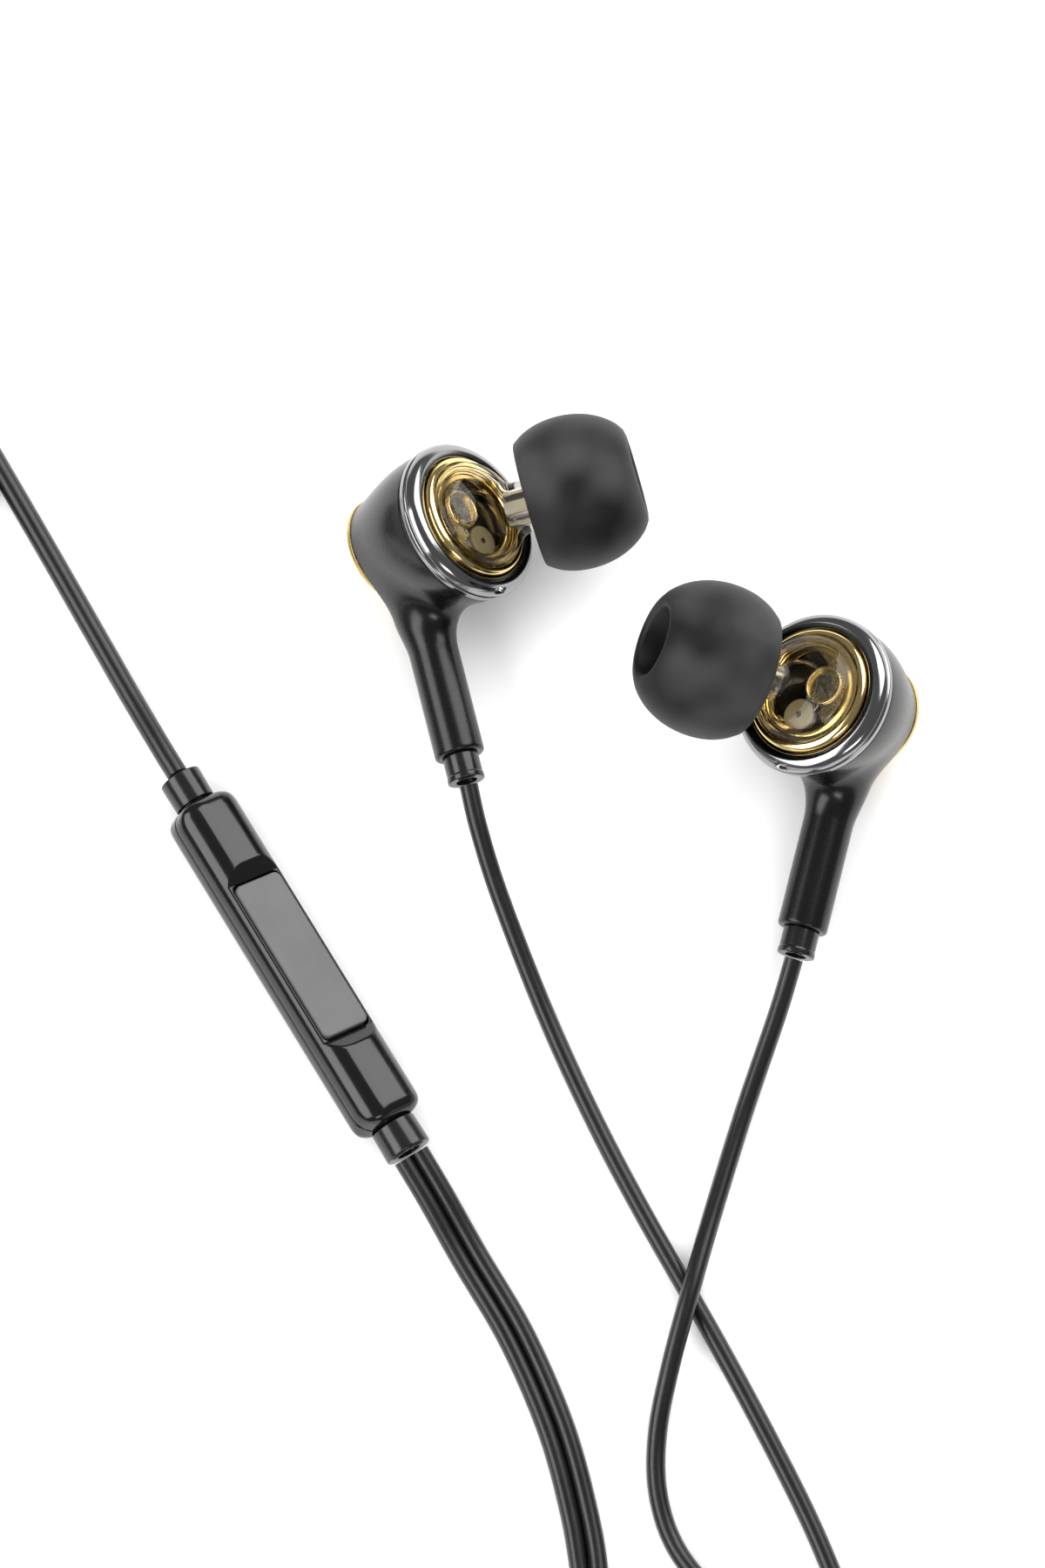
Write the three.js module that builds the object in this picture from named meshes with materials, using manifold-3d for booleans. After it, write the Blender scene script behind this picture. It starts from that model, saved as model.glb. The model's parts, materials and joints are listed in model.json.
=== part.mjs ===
// Wired in-ear earphones lying on a table: two earbuds with pull-off tips, an in-line remote
// with a microphone, one shared main cord, two branch cords and a 3.5 mm four-pole plug.
// Millimetres, +Z up, the table is z = 0.
import * as THREE from "three";
import { mergeVertices } from "three/addons/utils/BufferGeometryUtils.js";
import Module from "manifold-3d";

const wasm = await Module();
wasm.setup();

// ---- driving dimensions -------------------------------------------------------------------
const fitGap = 0.05; // between pieces turned about one axis
const looseGap = 0.3; // between a cord and what it meets

// Earbud. Its own z axis is the housing axis, z = 0 is the front of the trim ring,
// and its stem points along -y.
const trimRingDiameter = 10.1;
const trimRingWidth = 0.6;
const trimRingHeight = 0.9;
const bezelFront = -0.35;
const bezelDepth = 1.65;
const housingDiameter = 13.0;
const housingLength = 10.5; // trim ring to rear cap
const housingWall = 1.0;
const bezelLip = 0.15; // how far the bezel stands out beyond the housing's side
const rearCapDiameter = 9.2;
const rearSetOff = 1.3; // how far the rear end lies off the axis, away from the stem
const rearCapThickness = 0.6;
const capChamfer = 0.25;
const stemDiameter = 4.0;
const stemBore = 2.2;
const stemReach = 17.35; // housing axis to the end of the stem
const stemFromRear = 2.2;
const collarDiameter = 3.0;
const collarLength = 2.1;
const domeHeight = 2.1;
const coverWall = 0.6;
const driverDiameter = 9.6;
const driverDepth = 2.9;
const driverClearance = 0.7; // round the driver, to the shell's mouth
const magnetDiameter = 5.8;
const magnetDepth = 2.3;
const coilDiameter = 4.2;
const nozzleTilt = THREE.MathUtils.degToRad(38);
const nozzleInset = 0.235; // from the dome's edge to the nozzle's root
const nozzleDiameter = 4.2;
const nozzleLength = 9.6;
const soundTubeBore = 2.4;
const soundTubeWall = 0.25;
const tipDiameter = 12.4;
const tipLength = 8.8;
const tipClearance = 0.69; // between the tip's rear edge and the bezel's rim
const tipWall = 0.6;
const soundHoleDiameter = 5.45;
const badgeDiameter = 3.2;
const dampingDiscDiameter = 2.6;

// Remote. Its own x axis runs from the upper to the lower cord collar, z is the button's side.
const remoteLength = 30.4;
const remoteWidth = 6;
const remoteThickness = 5;
const remoteCorner = 2; // at the ends, seen from above
const remoteEndRound = 1.3;
const remoteSideRound = 2.4;
const remoteWall = 0.9;
const buttonLength = 14.2;
const buttonWidth = 4.4;
const buttonStands = 0.25; // above the flat
const flatDepth = 0.95; // how far the flat lies below the crest
const buttonTravel = 0.25;
const upperCollarDiameter = 3.45;
const upperCollarLength = 2.55;
const lowerCollarDiameter = 3.8;
const lowerCollarLength = 2.5;

// Plug, 3.5 mm with four contacts. Its own z axis runs from the cord to the point.
const plugDiameter = 3.5;
const plugBarrelDiameter = 5.8;
const plugBarrelLength = 17;
const plugReliefLength = 7;
const plugContacts = { sleeve: 6, ring: 2.2, point: 3.6, band: 0.6 };

// Cords.
const mainCordDiameter = 1.75;
const branchCordDiameter = 1.5;
const mainCoil = { x: -59.1, y: 25.2, turnRadius: 10.5, bundleWidth: 10.7, bundleHeight: 3.7 };
const branchCoil = { x: 16, y: -79.6, turnRadius: 9, bundleWidth: 4.8, bundleHeight: 6.2 };

// How the pieces lie on the table.
const origin = { x: 1.44, y: -2.03 }; // middle of the earbuds and the remote
const leftPose = { x: -3.46, y: 19.33, front: [0.671, 0.191, 0.717], stem: [0.24, -0.97, 0.034] };
const rightPose = { x: 22.21, y: 4.74, front: [-0.496, 0.092, 0.863], stem: [-0.247, -0.968, -0.039] };
const remotePose = { x: -18.12, y: -15.44, z: 2.8, along: [0.52, -0.854, 0], roll: 29 };
const plugPose = { x: -74.05, y: 12 };

// ---- materials ----------------------------------------------------------------------------
const finish = (color, roughness, metalness = 0) => ({ color, roughness, metalness });
const finishes = {
  satinBlack: finish(0x17181a, 0.38),
  glossBlack: finish(0x0d0e10, 0.12),
  buttonGrey: finish(0x6d6f72, 0.45),
  chrome: finish(0xb9bcc0, 0.12, 1),
  gold: finish(0xc9a145, 0.22, 1),
  smokyClear: finish(0xb79a55, 0.08),
  silicone: finish(0x2c2d2f, 0.75),
  cordGrey: finish(0x303234, 0.62),
  steel: finish(0x9a9da0, 0.3, 1),
  copper: finish(0xb06a3a, 0.35, 1),
  film: finish(0xd9c9a0, 0.4),
  boardGreen: finish(0x1f5a3a, 0.6),
  whitePlastic: finish(0xd8d8d4, 0.5),
};

// How many flats stand for a full turn.
const fine = 26;
const plain = 22;
const small = 16;

// ---- shape helpers ------------------------------------------------------------------------
const object = new THREE.Group();

// A piece: one named mesh in a group.
function piece(group, name, geometry, finishName) {
  const mesh = new THREE.Mesh(geometry, new THREE.MeshStandardMaterial(finishes[finishName]));
  mesh.name = name;
  group.add(mesh);
  return mesh;
}

// A solid of revolution about z. The profile is a list of [radius, z].
function turned(profile, segments = plain) {
  const area = profile.reduce((sum, [r, z], i) => {
    const [nextR, nextZ] = profile[(i + 1) % profile.length];
    return sum + r * nextZ - nextR * z;
  }, 0);
  const points = profile.map(([r, z]) => new THREE.Vector2(r, z));
  if (area < 0) points.reverse();
  const first = points[0];
  const closed = points.every((p) => p.x > 0);
  const start = closed ? 0 : points.findIndex((p, i) => p.x === 0 && points.at(i - 1).x === 0);
  const outline = [...points.slice(start), ...points.slice(0, start)];
  if (closed) outline.push(first.clone());
  return new THREE.LatheGeometry(outline, segments).rotateX(Math.PI / 2);
}

// A plain ring or, with no inner diameter, a disc.
const ring = (outer, inner, low, high, segments = plain) =>
  turned([[inner / 2, low], [outer / 2, low], [outer / 2, high], [inner / 2, high]], segments);

const block = (length, width, low, high, x = 0, y = 0) =>
  new THREE.BoxGeometry(length, width, high - low).translate(x, y, (low + high) / 2);

// A plate with round corners in x and y.
function plate(length, width, corner, low, high, edge = 0) {
  const [x, y] = [length / 2 - edge, width / 2 - edge];
  const r = Math.max(corner - edge, 0.05);
  const outline = new THREE.Shape();
  outline.absarc(x - r, y - r, r, 0, Math.PI / 2);
  outline.absarc(r - x, y - r, r, Math.PI / 2, Math.PI);
  outline.absarc(r - x, r - y, r, Math.PI, 1.5 * Math.PI);
  outline.absarc(x - r, r - y, r, 1.5 * Math.PI, 2 * Math.PI);
  const bevel = { bevelEnabled: edge > 0, bevelSize: edge, bevelThickness: edge, bevelSegments: 2 };
  const depth = high - low - 2 * edge;
  return new THREE.ExtrudeGeometry(outline, { depth, curveSegments: 4, steps: 1, ...bevel })
    .translate(0, 0, low + edge);
}

// Between a three.js geometry and a solid that can be cut and joined.
function solid(geometry) {
  const bare = geometry.clone();
  bare.deleteAttribute("normal");
  bare.deleteAttribute("uv");
  const merged = mergeVertices(bare, 1e-4);
  const corners = merged.index.array;
  const faces = [];
  for (let i = 0; i < corners.length; i += 3) {
    const [a, b, c] = corners.slice(i, i + 3);
    if (a !== b && b !== c && c !== a) faces.push(a, b, c);
  }
  return new wasm.Manifold(new wasm.Mesh({
    numProp: 3,
    vertProperties: new Float32Array(merged.attributes.position.array),
    triVerts: new Uint32Array(faces),
  }));
}

function geometryOf(body) {
  const mesh = body.getMesh();
  const geometry = new THREE.BufferGeometry();
  geometry.setAttribute("position", new THREE.BufferAttribute(mesh.vertProperties, 3));
  geometry.setIndex(new THREE.BufferAttribute(mesh.triVerts, 1));
  return geometry;
}

const joined = (...geometries) => geometries.map(solid).reduce((a, b) => a.add(b));
const cut = (body, ...geometries) => geometries.map(solid).reduce((a, b) => a.subtract(b), body);

// A group turned so that its own axes point along x, y and z vectors.
function placed(x, y, z, at) {
  const group = new THREE.Group();
  group.quaternion.setFromRotationMatrix(new THREE.Matrix4().makeBasis(x, y, z));
  group.position.copy(at);
  object.add(group);
  return group;
}

// ---- earbud -------------------------------------------------------------------------------
const rearFace = -housingLength;
const shellRear = rearFace + rearCapThickness + fitGap;
const bezelRear = bezelFront - bezelDepth;
const shellFront = bezelRear - fitGap;
const stemPlace = rearFace + stemFromRear;
const trimRear = -trimRingHeight;
const flangeFront = trimRear - fitGap;
const flangeRear = flangeFront - 0.3;
const facePlateFront = flangeRear - fitGap;
const facePlateRear = facePlateFront - 0.3;
const driverFront = facePlateRear - fitGap;
const driverRear = driverFront - driverDepth;
const domeRadius = trimRingDiameter / 2 - trimRingWidth - fitGap;
const nozzleOffset = domeRadius - nozzleInset - nozzleDiameter / 2 / Math.cos(nozzleTilt);
const bezelBore = trimRingDiameter + 0.6;
const bezelRadius = housingDiameter / 2 + bezelLip;
const bezelRim = { radius: bezelRadius - 0.4, height: bezelFront - 0.15 };
const rimAlongNozzle = (bezelRim.radius - nozzleOffset) * Math.sin(nozzleTilt)
  + bezelRim.height * Math.cos(nozzleTilt);
const tipStart = rimAlongNozzle + tipClearance; // along the nozzle, to the tip's rear edge
const flangeDiameter = bezelBore - 2 * fitGap;

// A side of the shell, from its rear end to its front, as a bulging cone.
function housingSide(rearRadius, frontRadius) {
  const steps = 5;
  return Array.from({ length: steps + 1 }, (_, i) => {
    const t = i / steps;
    const bulge = Math.sin((t * Math.PI) / 2) ** 1.15;
    return [
      rearRadius + (frontRadius - rearRadius) * bulge,
      shellRear + (shellFront - shellRear) * t,
    ];
  });
}

// Leans a shape behind the bezel, so that its rear end is set off from the axis.
function leaned(geometry) {
  const place = geometry.attributes.position;
  for (let i = 0; i < place.count; i++) {
    const behind = Math.max(0, (shellFront - place.getZ(i)) / (shellFront - rearFace));
    place.setY(i, place.getY(i) + rearSetOff * behind);
  }
  return geometry;
}

function rearShell() {
  const r = stemDiameter / 2;
  const flareStart = rearCapDiameter / 2 + 0.4 - rearSetOff / 2;
  const rearRadius = rearCapDiameter / 2 - 0.05;
  const frontRadius = housingDiameter / 2;
  const mouth = Math.min(frontRadius - housingWall, driverDiameter / 2 + driverClearance);
  const outside = turned([[0, shellRear], ...housingSide(rearRadius, frontRadius), [0, shellFront]],
    fine);
  const stem = turned([
    [0, 0], [r + 1.2, 0], [r + 1.1, flareStart], [r + 0.5, flareStart + 1.3],
    [r + 0.15, flareStart + 2.7], [r, flareStart + 4.2], [r, stemReach - 0.25],
    [r - 0.2, stemReach], [0, stemReach],
  ], plain).rotateX(Math.PI / 2).translate(0, 0, stemPlace);
  const inside = turned([[0, shellRear - 1], [rearCapDiameter / 2 - housingWall, shellRear - 1],
    ...housingSide(rearRadius - housingWall, mouth), [mouth, shellFront + 1],
    [0, shellFront + 1]], fine);
  const capSeat = ring(rearCapDiameter + 0.1, 0, rearFace - 2, shellRear, fine);
  const behind = block(20, 40, rearFace - 3, rearFace + 0.1);
  const bore = turned([[0, 2.5], [stemBore / 2, 2.5], [stemBore / 2, stemReach + 1],
    [0, stemReach + 1]], small).rotateX(Math.PI / 2).translate(0, 0, stemPlace);
  return geometryOf(cut(joined(leaned(outside), stem), leaned(inside), leaned(capSeat), behind, bore));
}

function rearCap() {
  const r = rearCapDiameter / 2;
  const spigot = r - housingWall - fitGap;
  const front = rearFace + rearCapThickness;
  return leaned(turned([[0, rearFace], [r - capChamfer, rearFace], [r, rearFace + capChamfer],
    [r, front], [spigot, front], [spigot, front + 0.6], [0, front + 0.6]]));
}

function bezel() {
  const r = bezelRadius;
  const bore = bezelBore / 2;
  const groove = bezelRear + 0.75;
  return turned([[bore, bezelRear], [r - 0.15, bezelRear], [r, bezelRear + 0.15], [r, groove - 0.1],
    [r - 0.15, groove], [r - 0.15, groove + 0.15], [r - 0.05, groove + 0.25],
    [bezelRim.radius, bezelRim.height], [r - 0.7, bezelFront], [bore, bezelFront - 0.2]], fine);
}

function trimRing() {
  const r = trimRingDiameter / 2;
  const bore = r - trimRingWidth;
  return turned([[bore, trimRear], [r, trimRear], [r, -0.25], [r - 0.2, 0], [bore + 0.15, 0],
    [bore, -0.2]], fine);
}

// Clear cover: a flange under the trim ring, a low dome, and the tilted nozzle in one piece.
function frontCover(side) {
  const dome = (inset, low) => [
    [domeRadius - inset, low], [domeRadius - inset, 0.2], [domeRadius - inset - 0.45, 1.2 - inset],
    [domeRadius - inset - 1.4, domeHeight - inset - 0.15], [0, domeHeight - inset],
  ];
  const flange = flangeDiameter / 2;
  const outside = turned([[0, flangeRear], [flange, flangeRear], [flange, flangeFront],
    ...dome(0, flangeFront)], fine);
  const inside = turned([[0, flangeRear - 1], ...dome(coverWall, flangeRear - 1)], fine);
  const r = nozzleDiameter / 2;
  const barb = nozzleLength - 1.4;
  const tube = turned([[0, 0.6], [r, 0.6], [r, barb], [r + 0.15, barb + 0.3], [r + 0.15, barb + 0.7],
    [r, barb + 1], [r - 0.1, nozzleLength], [0, nozzleLength]], small);
  const bore = ring(soundTubeBore + 2 * soundTubeWall + 2 * fitGap, 0, -1.5, nozzleLength + 1, small);
  const lean = (g) => g.rotateY(side * nozzleTilt).translate(side * nozzleOffset, 0, 0);
  const wall = cut(joined(outside, lean(tube)), inside);
  const clear = block(20, 20, -10, flangeRear - 0.001);
  return geometryOf(cut(wall, lean(bore), clear));
}

// Soft umbrella tip about the nozzle axis, with its core sleeve folded back inside the skirt.
function earTip() {
  const r = tipDiameter / 2;
  const front = tipStart + tipLength;
  const hole = soundHoleDiameter / 2;
  const core = nozzleDiameter / 2 + 0.45;
  const sleeve = core + 0.75;
  const outer = [[hole + 0.55, front], [r - 2, front - 0.5], [r - 1.1, front - 1.7],
    [r - 0.3, front - 3.2], [r, front - 4.9], [r - 0.05, front - 6.2], [r - 0.5, front - 7.8],
    [r - 1.15, tipStart]];
  const inner = [[r - 1.15 - tipWall, tipStart + 0.1], [r - tipWall - 0.35, front - 6.4],
    [r - tipWall - 0.2, front - 4.9], [r - tipWall - 0.7, front - 3.4], [sleeve + 0.4, front - 2],
    [sleeve, front - 2.5]];
  const bore = [[sleeve, tipStart + 1.2], [core, tipStart + 1.2], [core, front - 1.3],
    [hole, front - 1]];
  return turned([[hole, front], ...outer, ...inner, ...bore].reverse(), fine);
}

function driverFrame() {
  const r = driverDiameter / 2;
  const floor = driverRear + 0.35;
  return turned([[1, driverRear], [r - 0.3, driverRear], [r, driverRear + 0.3], [r, driverFront],
    [r - 0.7, driverFront], [r - 0.7, floor], [1, floor]]);
}

function diaphragm() {
  const r = driverDiameter / 2 - 0.75;
  const low = driverFront - 0.75;
  return turned([[0, low + 0.35], [1.2, low + 0.25], [coilDiameter / 2, low], [r - 0.6, low + 0.2],
    [r, low], [r, low + 0.12], [r - 0.6, low + 0.32], [coilDiameter / 2, low + 0.12],
    [1.2, low + 0.37], [0, low + 0.47]], plain);
}

function earbud(name, pose, side) {
  const front = new THREE.Vector3(...pose.front).normalize();
  const up = new THREE.Vector3(...pose.stem).negate();
  up.addScaledVector(front, -up.dot(front)).normalize();
  const across = new THREE.Vector3().crossVectors(up, front);
  const lean = Math.sqrt(1 - front.z ** 2);
  const capRadius = rearCapDiameter / 2;
  const rim = Math.max(housingLength * front.z + (capRadius - capChamfer) * lean,
    (housingLength - capChamfer) * front.z + capRadius * lean);
  const height = rim - rearSetOff * up.z; // the cap's rim is on the table
  const bud = placed(across, up, front, new THREE.Vector3(pose.x, pose.y, height));
  const add = (what, geometry, finishName) => piece(bud, name + "_" + what, geometry, finishName);

  add("rear_shell", rearShell(), "satinBlack");
  add("rear_cap", rearCap(), "gold");
  add("bezel", bezel(), "chrome");
  add("trim_ring", trimRing(), "gold");
  add("front_cover", frontCover(side), "smokyClear");
  add("face_plate", ring(flangeDiameter, 0, facePlateRear, facePlateFront, fine), "gold");
  add("side_badge", ring(badgeDiameter, 0, facePlateFront + fitGap, facePlateFront + 0.55, small)
    .translate(-1.3 * side, 0.5, 0), "gold");
  add("damping_disc", ring(dampingDiscDiameter, 0, facePlateFront + fitGap, facePlateFront + 0.4, small)
    .translate(0.45 * side, -1.95, 0), "whitePlastic");
  add("driver_frame", driverFrame(), "steel");
  add("diaphragm", diaphragm(), "film");
  add("voice_coil", ring(coilDiameter, coilDiameter - 0.4, driverRear + 0.5, driverFront - 0.85, small),
    "copper");
  const magnetFront = driverRear - fitGap;
  const magnetRear = magnetFront - magnetDepth;
  add("driver_magnet", ring(magnetDiameter, 1.2, magnetRear, magnetFront, small), "steel");
  add("driver_board", ring(magnetDiameter - 1.4, 0, magnetRear - 0.6, magnetRear - fitGap, small),
    "boardGreen");

  const r = collarDiameter / 2;
  const end = stemReach + fitGap + collarLength;
  add("stem_collar", turned([[0, stemReach - 1.6], [stemBore / 2 - fitGap, stemReach - 1.6],
    [stemBore / 2 - fitGap, stemReach + fitGap], [r, stemReach + fitGap], [r, end - 0.3],
    [r - 0.15, end], [0, end]], small).rotateX(Math.PI / 2).translate(0, 0, stemPlace), "satinBlack");

  const nozzle = new THREE.Group();
  nozzle.position.x = side * nozzleOffset;
  nozzle.rotation.y = side * nozzleTilt;
  bud.add(nozzle);
  const tubeOutside = soundTubeBore + 2 * soundTubeWall;
  const filterRear = nozzleLength - 0.6;
  piece(nozzle, name + "_sound_tube", ring(tubeOutside, soundTubeBore, 1.2, filterRear - fitGap, small),
    "steel");
  piece(nozzle, name + "_sound_filter", ring(tubeOutside, 0, filterRear, nozzleLength - 0.2, small),
    "steel");
  piece(nozzle, name + "_ear_tip", earTip(), "silicone");
}

earbud("left", leftPose, 1);
earbud("right", rightPose, -1);

// ---- remote -------------------------------------------------------------------------------
function remote() {
  const roll = THREE.MathUtils.degToRad(remotePose.roll);
  const along = new THREE.Vector3(...remotePose.along).normalize();
  const beside = new THREE.Vector3(0, 0, 1).cross(along);
  const press = new THREE.Vector3(0, 0, 1).multiplyScalar(Math.cos(roll))
    .addScaledVector(beside, Math.sin(roll));
  const across = new THREE.Vector3().crossVectors(press, along);
  const at = new THREE.Vector3(remotePose.x, remotePose.y, remotePose.z);
  const body = placed(along, across, press, at);

  const half = remoteThickness / 2;
  const flat = half - flatDepth;
  const floor = -half + remoteWall + 0.3;
  const ceiling = flat - 0.7;
  const insideLength = remoteLength - 3.2;
  const insideWidth = remoteWidth - 2 * remoteWall;
  const collarHole = 2.6;
  const sides = () => plate(remoteWidth, remoteThickness, remoteSideRound, -remoteLength / 2,
    remoteLength / 2).rotateX(Math.PI / 2).rotateZ(Math.PI / 2);
  const ends = () => plate(remoteLength, remoteWidth, remoteCorner, -half, half, remoteEndRound);
  const shape = () => solid(ends()).intersect(solid(sides()));
  const room = () => block(insideLength, insideWidth, floor, ceiling);
  const collarFlange = 3;
  const endRoom = (side) => block(3, collarFlange + 0.4, -collarFlange / 2 - 0.1,
    collarFlange / 2 + 0.1, side * (insideLength / 2 - 1.5));
  const endHoles = () => turned([[0, -20], [collarHole / 2, -20], [collarHole / 2, 20], [0, 20]], small)
    .rotateY(Math.PI / 2);
  const slotLength = buttonLength + 2 * 0.25;
  const slotWidth = buttonWidth + 2 * 0.15;
  const buttonTop = flat + buttonStands;
  const buttonBottom = ceiling - 0.05;
  const boardTop = floor + fitGap + 0.55;
  const micPlace = insideLength / 2 - 3.2;

  const top = cut(shape(), block(40, 20, -10, fitGap / 2), room(), endRoom(-1),
    endRoom(1), endHoles(), block(slotLength, 20, flat, 10),
    plate(slotLength, slotWidth, 1.1, ceiling - 0.4, 10),
    ring(0.7, 0, 0, 10, 12).translate(micPlace, 0, 0));
  piece(body, "remote_top_shell", geometryOf(top), "glossBlack");
  const bottom = cut(shape(), block(40, 20, -fitGap / 2, 10), room(), endRoom(-1),
    endRoom(1), endHoles());
  piece(body, "remote_bottom_shell", geometryOf(bottom), "glossBlack");

  piece(body, "remote_button", plate(buttonLength, buttonWidth, 1, buttonBottom, buttonTop, 0.15),
    "buttonGrey");
  const plungerRear = buttonBottom - 0.45;
  piece(body, "remote_switch_plunger", ring(1.6, 0, plungerRear, buttonBottom - fitGap, small),
    "whitePlastic");
  piece(body, "remote_switch_body", block(3, 2.6, boardTop + fitGap, plungerRear - looseGap),
    "steel");
  piece(body, "remote_circuit_board", block(insideLength - 3, insideWidth - 0.6, floor + fitGap,
    boardTop), "boardGreen");
  const micTop = ceiling - 0.3;
  piece(body, "remote_microphone", ring(2.2, 0, boardTop + fitGap, micTop, small)
    .translate(micPlace, 0, 0), "steel");
  piece(body, "remote_mic_mesh", ring(1.4, 0, micTop + fitGap, ceiling - fitGap, small)
    .translate(micPlace, 0, 0), "steel");

  const collar = (diameter, length) => {
    const inner = insideLength / 2 - fitGap;
    const outer = remoteLength / 2 + fitGap;
    const neck = collarHole / 2 - fitGap;
    const r = diameter / 2;
    const flange = collarFlange / 2;
    return turned([[0, inner - 0.5], [flange, inner - 0.5], [flange, inner], [neck, inner], [neck, outer],
      [r, outer], [r, outer + length - 0.3], [r - 0.2, outer + length], [0, outer + length]], small);
  };
  piece(body, "remote_upper_collar", collar(upperCollarDiameter, upperCollarLength)
    .rotateY(-Math.PI / 2), "satinBlack");
  piece(body, "remote_lower_collar", collar(lowerCollarDiameter, lowerCollarLength)
    .rotateY(Math.PI / 2), "satinBlack");
}

remote();

// ---- plug ---------------------------------------------------------------------------------
function plug() {
  const height = plugBarrelDiameter / 2;
  const at = new THREE.Vector3(plugPose.x, plugPose.y, height);
  const along = new THREE.Vector3(0, -1, 0);
  const body = placed(new THREE.Vector3(1, 0, 0), new THREE.Vector3(0, 0, 1), along, at);

  const r = plugDiameter / 2;
  const core = 0.9;
  const barrelStart = plugReliefLength + fitGap;
  const barrelEnd = barrelStart + plugBarrelLength;
  piece(body, "plug_strain_relief", turned([[0, 0], [1.35, 0], [1.7, 2], [2.1, plugReliefLength],
    [1.5, plugReliefLength], [1.5, plugReliefLength + 3], [0, plugReliefLength + 3]], small),
    "satinBlack");
  const grip = plugBarrelDiameter / 2;
  const socket = r + fitGap;
  const seat = barrelEnd - 3;
  piece(body, "plug_barrel", turned([[1.55, barrelStart], [grip - 0.7, barrelStart],
    [grip, barrelStart + 1.5], [grip, barrelEnd - 0.5], [grip - 0.4, barrelEnd], [socket, barrelEnd],
    [socket, seat], [1.55, seat]]), "glossBlack");

  // Contacts and the insulating core whose bands part them, from the barrel to the point.
  const buried = barrelEnd - seat - fitGap; // the sleeve's end inside the barrel
  const outline = [[0, seat + fitGap], [core, seat + fitGap]];
  const contacts = [["plug_sleeve_contact", buried + plugContacts.sleeve], ["plug_mic_ring",
    plugContacts.ring], ["plug_right_ring", plugContacts.ring]];
  let reached = barrelEnd - buried;
  for (const [name, length] of contacts) {
    piece(body, name, ring(2 * r, 2 * (core + fitGap), reached, reached + length, plain), "gold");
    reached += length + fitGap;
    outline.push([core, reached], [r, reached], [r, reached + plugContacts.band]);
    reached += plugContacts.band;
    outline.push([core, reached]);
    reached += fitGap;
  }
  outline.push([core, reached + 1], [0, reached + 1]);
  piece(body, "plug_insulator", turned(outline, plain), "glossBlack");
  const tipEnd = reached + plugContacts.point;
  piece(body, "plug_tip_contact", turned([[core + fitGap, reached], [r, reached],
    [r - 0.55, reached + 1.2], [r, reached + 2.1], [0.3, tipEnd], [0, tipEnd],
    [0, reached + 1 + fitGap], [core + fitGap, reached + 1 + fitGap]], plain), "gold");
}

plug();

// ---- cords --------------------------------------------------------------------------------
// A tube of eight sides along hand-placed points.
function cord(name, points, diameter, steps) {
  const route = new THREE.CatmullRomCurve3(points.map((p) => new THREE.Vector3(...p)));
  const sides = 8;
  const section = new THREE.Shape();
  for (let i = 0; i < sides; i++) {
    const angle = ((i + 0.5) / sides) * 2 * Math.PI;
    const radius = diameter / 2 / Math.cos(Math.PI / sides);
    const [x, y] = [radius * Math.cos(angle), radius * Math.sin(angle)];
    if (i === 0) section.moveTo(x, y);
    else section.lineTo(x, y);
  }
  const options = { steps, extrudePath: route, bevelEnabled: false };
  piece(object, name, new THREE.ExtrudeGeometry(section, options), "cordGrey");
}

function coil(name, place) {
  const outer = 2 * place.turnRadius + place.bundleWidth;
  const inner = 2 * place.turnRadius - place.bundleWidth;
  const round = 1;
  piece(object, name, turned([[inner / 2, round], [inner / 2 + round, 0], [outer / 2 - round, 0],
    [outer / 2, round], [outer / 2, place.bundleHeight - round], [outer / 2 - round,
      place.bundleHeight], [inner / 2 + round, place.bundleHeight], [inner / 2,
      place.bundleHeight - round]], 40).translate(place.x, place.y, 0), "cordGrey");
}

const mainRoute = [[-27.53, 0.02, 2.8], [-28.9, 2.3, 2.45], [-31.4, 6.7, 1.45], [-34.1, 11.5, 1.0],
  [-37.9, 18.2, 0.9], [-40.6, 22.9, 0.9], [-42.4, 26.0, 0.9]];
const tailRoute = [[-74.05, 17.4, 2.75], [-74.05, 15, 2.85], [-74.05, 12.35, 2.9]];
const leftRoute = [[-4.27, -1.52, 5.3], [-3.45, -5.0, 4.7], [-1.75, -10.2, 3.2], [1.8, -19.1, 1.2],
  [5.45, -27.2, 0.78], [9.4, -34.95, 0.78], [15.05, -45.1, 0.78], [19.0, -52.6, 0.78],
  [22.4, -59.6, 0.78], [24.9, -66.0, 1.1], [26.1, -70.0, 2.3], [26.5, -73.4, 3.3]];
const rightRoute = [[21.45, -15.2, 3.35], [20.15, -19.4, 2.4], [17.45, -27.1, 1.2],
  [14.95, -35.1, 1.6], [12.95, -42.0, 2.55], [11.5, -47.3, 1.9], [10.5, -52.2, 0.9],
  [10.45, -56.8, 0.78], [11.7, -61.0, 0.9], [14.4, -64.7, 2.1], [18.0, -67.6, 3.3]];

// The two branch cords leave the remote side by side. The last figure is how far the pair has
// rolled over, in degrees, until one strand lies on the other where they enter the coil.
const twinRoute = [[-8.73, -30.86, 2.78, 0], [-6.75, -34.1, 2.1, 0], [-4.1, -38.7, 1.1, 0],
  [-0.45, -44.9, 0.78, 0], [2.6, -52.0, 0.78, 0], [4.4, -58.6, 0.78, 0], [5.2, -63.6, 0.78, 15],
  [5.5, -68.6, 0.78, 70], [5.5, -73.4, 0.78, 90]];

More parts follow.
